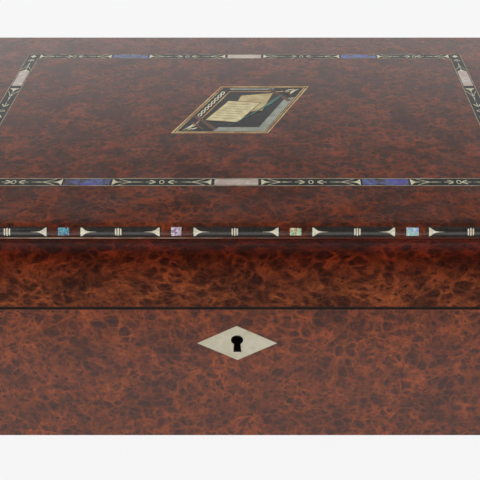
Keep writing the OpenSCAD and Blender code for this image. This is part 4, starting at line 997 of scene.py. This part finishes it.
# ---- Cylinder pins ----
def pin_field():
    """Pins on the drum: each a short four-sided peg, its foot on the drum and its head outwards."""
    lo, hi = (np.array(v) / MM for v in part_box("pin_cylinder"))
    axis_y, axis_z = (lo[1] + hi[1]) / 2 - FRONT, (lo[2] + hi[2]) / 2
    radius = (hi[2] - lo[2]) / 2
    rng = np.random.default_rng(1871)
    rows, beats, pins_a_row, margin = 100, 96, 18, 4.2
    drawn = rng.integers(0, beats, rows * pins_a_row)
    places = np.unique(np.stack([np.repeat(np.arange(rows), pins_a_row), drawn], -1), axis=0)
    tracks = lo[0] + margin + places[:, 0] * (hi[0] - lo[0] - 2 * margin) / (rows - 1)
    turn = places[:, 1] * (2 * math.pi / beats)
    out = np.stack([np.zeros_like(turn), np.cos(turn), np.sin(turn)], -1)
    side = np.stack([np.zeros_like(turn), -np.sin(turn), np.cos(turn)], -1)
    along = np.broadcast_to([1.0, 0.0, 0.0], out.shape)
    foot = np.stack([tracks, axis_y + 0 * turn, axis_z + 0 * turn], -1) + out * (radius - 0.1)
    corners = [(-1, -1), (1, -1), (1, 1), (-1, 1)]
    low = [foot + 0.16 * (a * along + b * side) for a, b in corners]
    top = [foot + out * 1.1 + 0.12 * (a * along + b * side) for a, b in corners]
    verts = np.stack(low + top, 1).reshape(-1, 3)
    faces = np.array([[0, 1, 5, 4], [1, 2, 6, 5], [2, 3, 7, 6], [3, 0, 4, 7], [4, 5, 6, 7], [3, 2, 1, 0]])
    return verts, (faces[None] + 8 * np.arange(len(tracks))[:, None, None]).reshape(-1, 4)


piece("cylinder_pins", *pin_field(), STEEL, "cylinder", "steel")

# ---- Floor, light and camera ----
floor = bpy.data.meshes.new("floor")
floor.from_pydata([(-6, -6, 0), (6, -6, 0), (6, 6, 0), (-6, 6, 0)], [], [(0, 1, 2, 3)])
ground = bpy.data.objects.new("floor", floor)
bpy.context.scene.collection.objects.link(ground)
made, tree, shader = material("floor_paper")
shader.inputs["Base Color"].default_value = (0.86, 0.86, 0.86, 1.0)
shader.inputs["Roughness"].default_value = 0.9
shader.inputs["Specular IOR Level"].default_value = 0.0
floor.materials.append(made)
path = node(tree, "LightPath")
glow = node(tree, "Emission", {"Color": (0.95, 0.95, 0.955, 1.0)})
ahead = axis(tree, "Y")
gleam = node(tree, "Emission", {"Color": (1, 1, 1, 1), "Strength": span(tree, ahead, -0.27, -0.15, 0.10, 0.80)})
dull = node(tree, "MixShader", {"Fac": path.outputs["Is Glossy Ray"], 1: shader.outputs[0], 2: gleam.outputs[0]})
mix = node(tree, "MixShader", {"Fac": times(tree, path.outputs["Is Camera Ray"], 0.93),
                               1: dull.outputs[0], 2: glow.outputs[0]})
tree.links.new(mix.outputs[0], tree.nodes["Material Output"].inputs["Surface"])

world = bpy.data.worlds.new("studio")
bpy.context.scene.world = world
world.use_nodes = True
tree = world.node_tree
base = tree.nodes["Background"]
base.inputs["Color"].default_value = (1.0, 1.0, 1.0, 1.0)
base.inputs["Strength"].default_value = 0.62
path = node(tree, "LightPath")
height = axis(tree, "Z")
across = axis(tree, "X")
upward = span(tree, height, 0.27, 0.54, 1.25, 0.08)
strength = times(tree, upward, span(tree, across, -0.4, 0.3, 1.1, 0.95))
shine = node(tree, "Background", {"Color": (1, 1, 1, 1), "Strength": strength})
seen = node(tree, "Background", {"Color": (0.92, 0.92, 0.925, 1), "Strength": 1.0})
glossy = node(tree, "MixShader", {"Fac": path.outputs["Is Glossy Ray"], 1: base.outputs[0], 2: shine.outputs[0]})
clear = maths(tree, "MAXIMUM", path.outputs["Is Camera Ray"], path.outputs["Is Transmission Ray"])
last = node(tree, "MixShader", {"Fac": clear, 1: glossy.outputs[0], 2: seen.outputs[0]})
tree.links.new(last.outputs[0], tree.nodes["World Output"].inputs["Surface"])


def lamp(name, place, aim, size, power):
    """A soft square lamp, turned so that it faces its aim."""
    light = bpy.data.lights.new(name, "AREA")
    light.shape = "SQUARE"
    light.size = size
    light.energy = power
    thing = bpy.data.objects.new(name, light)
    bpy.context.scene.collection.objects.link(thing)
    thing.location = place
    way = np.array(aim, float) - np.array(place, float)
    flat_way = math.hypot(way[0], way[1])
    thing.rotation_euler = (math.atan2(flat_way, -way[2]), 0.0, math.atan2(-way[0], way[1]))
    return thing


lamp("key_lamp", (-1.3, -0.9, 1.3), (-0.1, 0, 0.08), 1.2, 11.0)
lamp("fill_lamp", (1.1, -0.2, 1.4), (0, 0, 0.08), 1.4, 2.5)

view = bpy.data.cameras.new("camera")
FRAME_PX, FOCAL_PX, SHIFT_PX, SENSOR = 480, 902.8, -30.0, 36.0
view.sensor_width = SENSOR
view.lens = FOCAL_PX / FRAME_PX * SENSOR
view.shift_x = SHIFT_PX / FRAME_PX
view.clip_start = 0.01
eye = bpy.data.objects.new("camera", view)
bpy.context.scene.collection.objects.link(eye)
eye.location = (0.01565, -0.4437, 0.3369)
CAMERA_DOWN = 33.0
eye.rotation_euler = (math.radians(90.0 - CAMERA_DOWN), 0.0, 0.0)
bpy.context.scene.camera = eye
bpy.context.scene.view_settings.view_transform = "Standard"
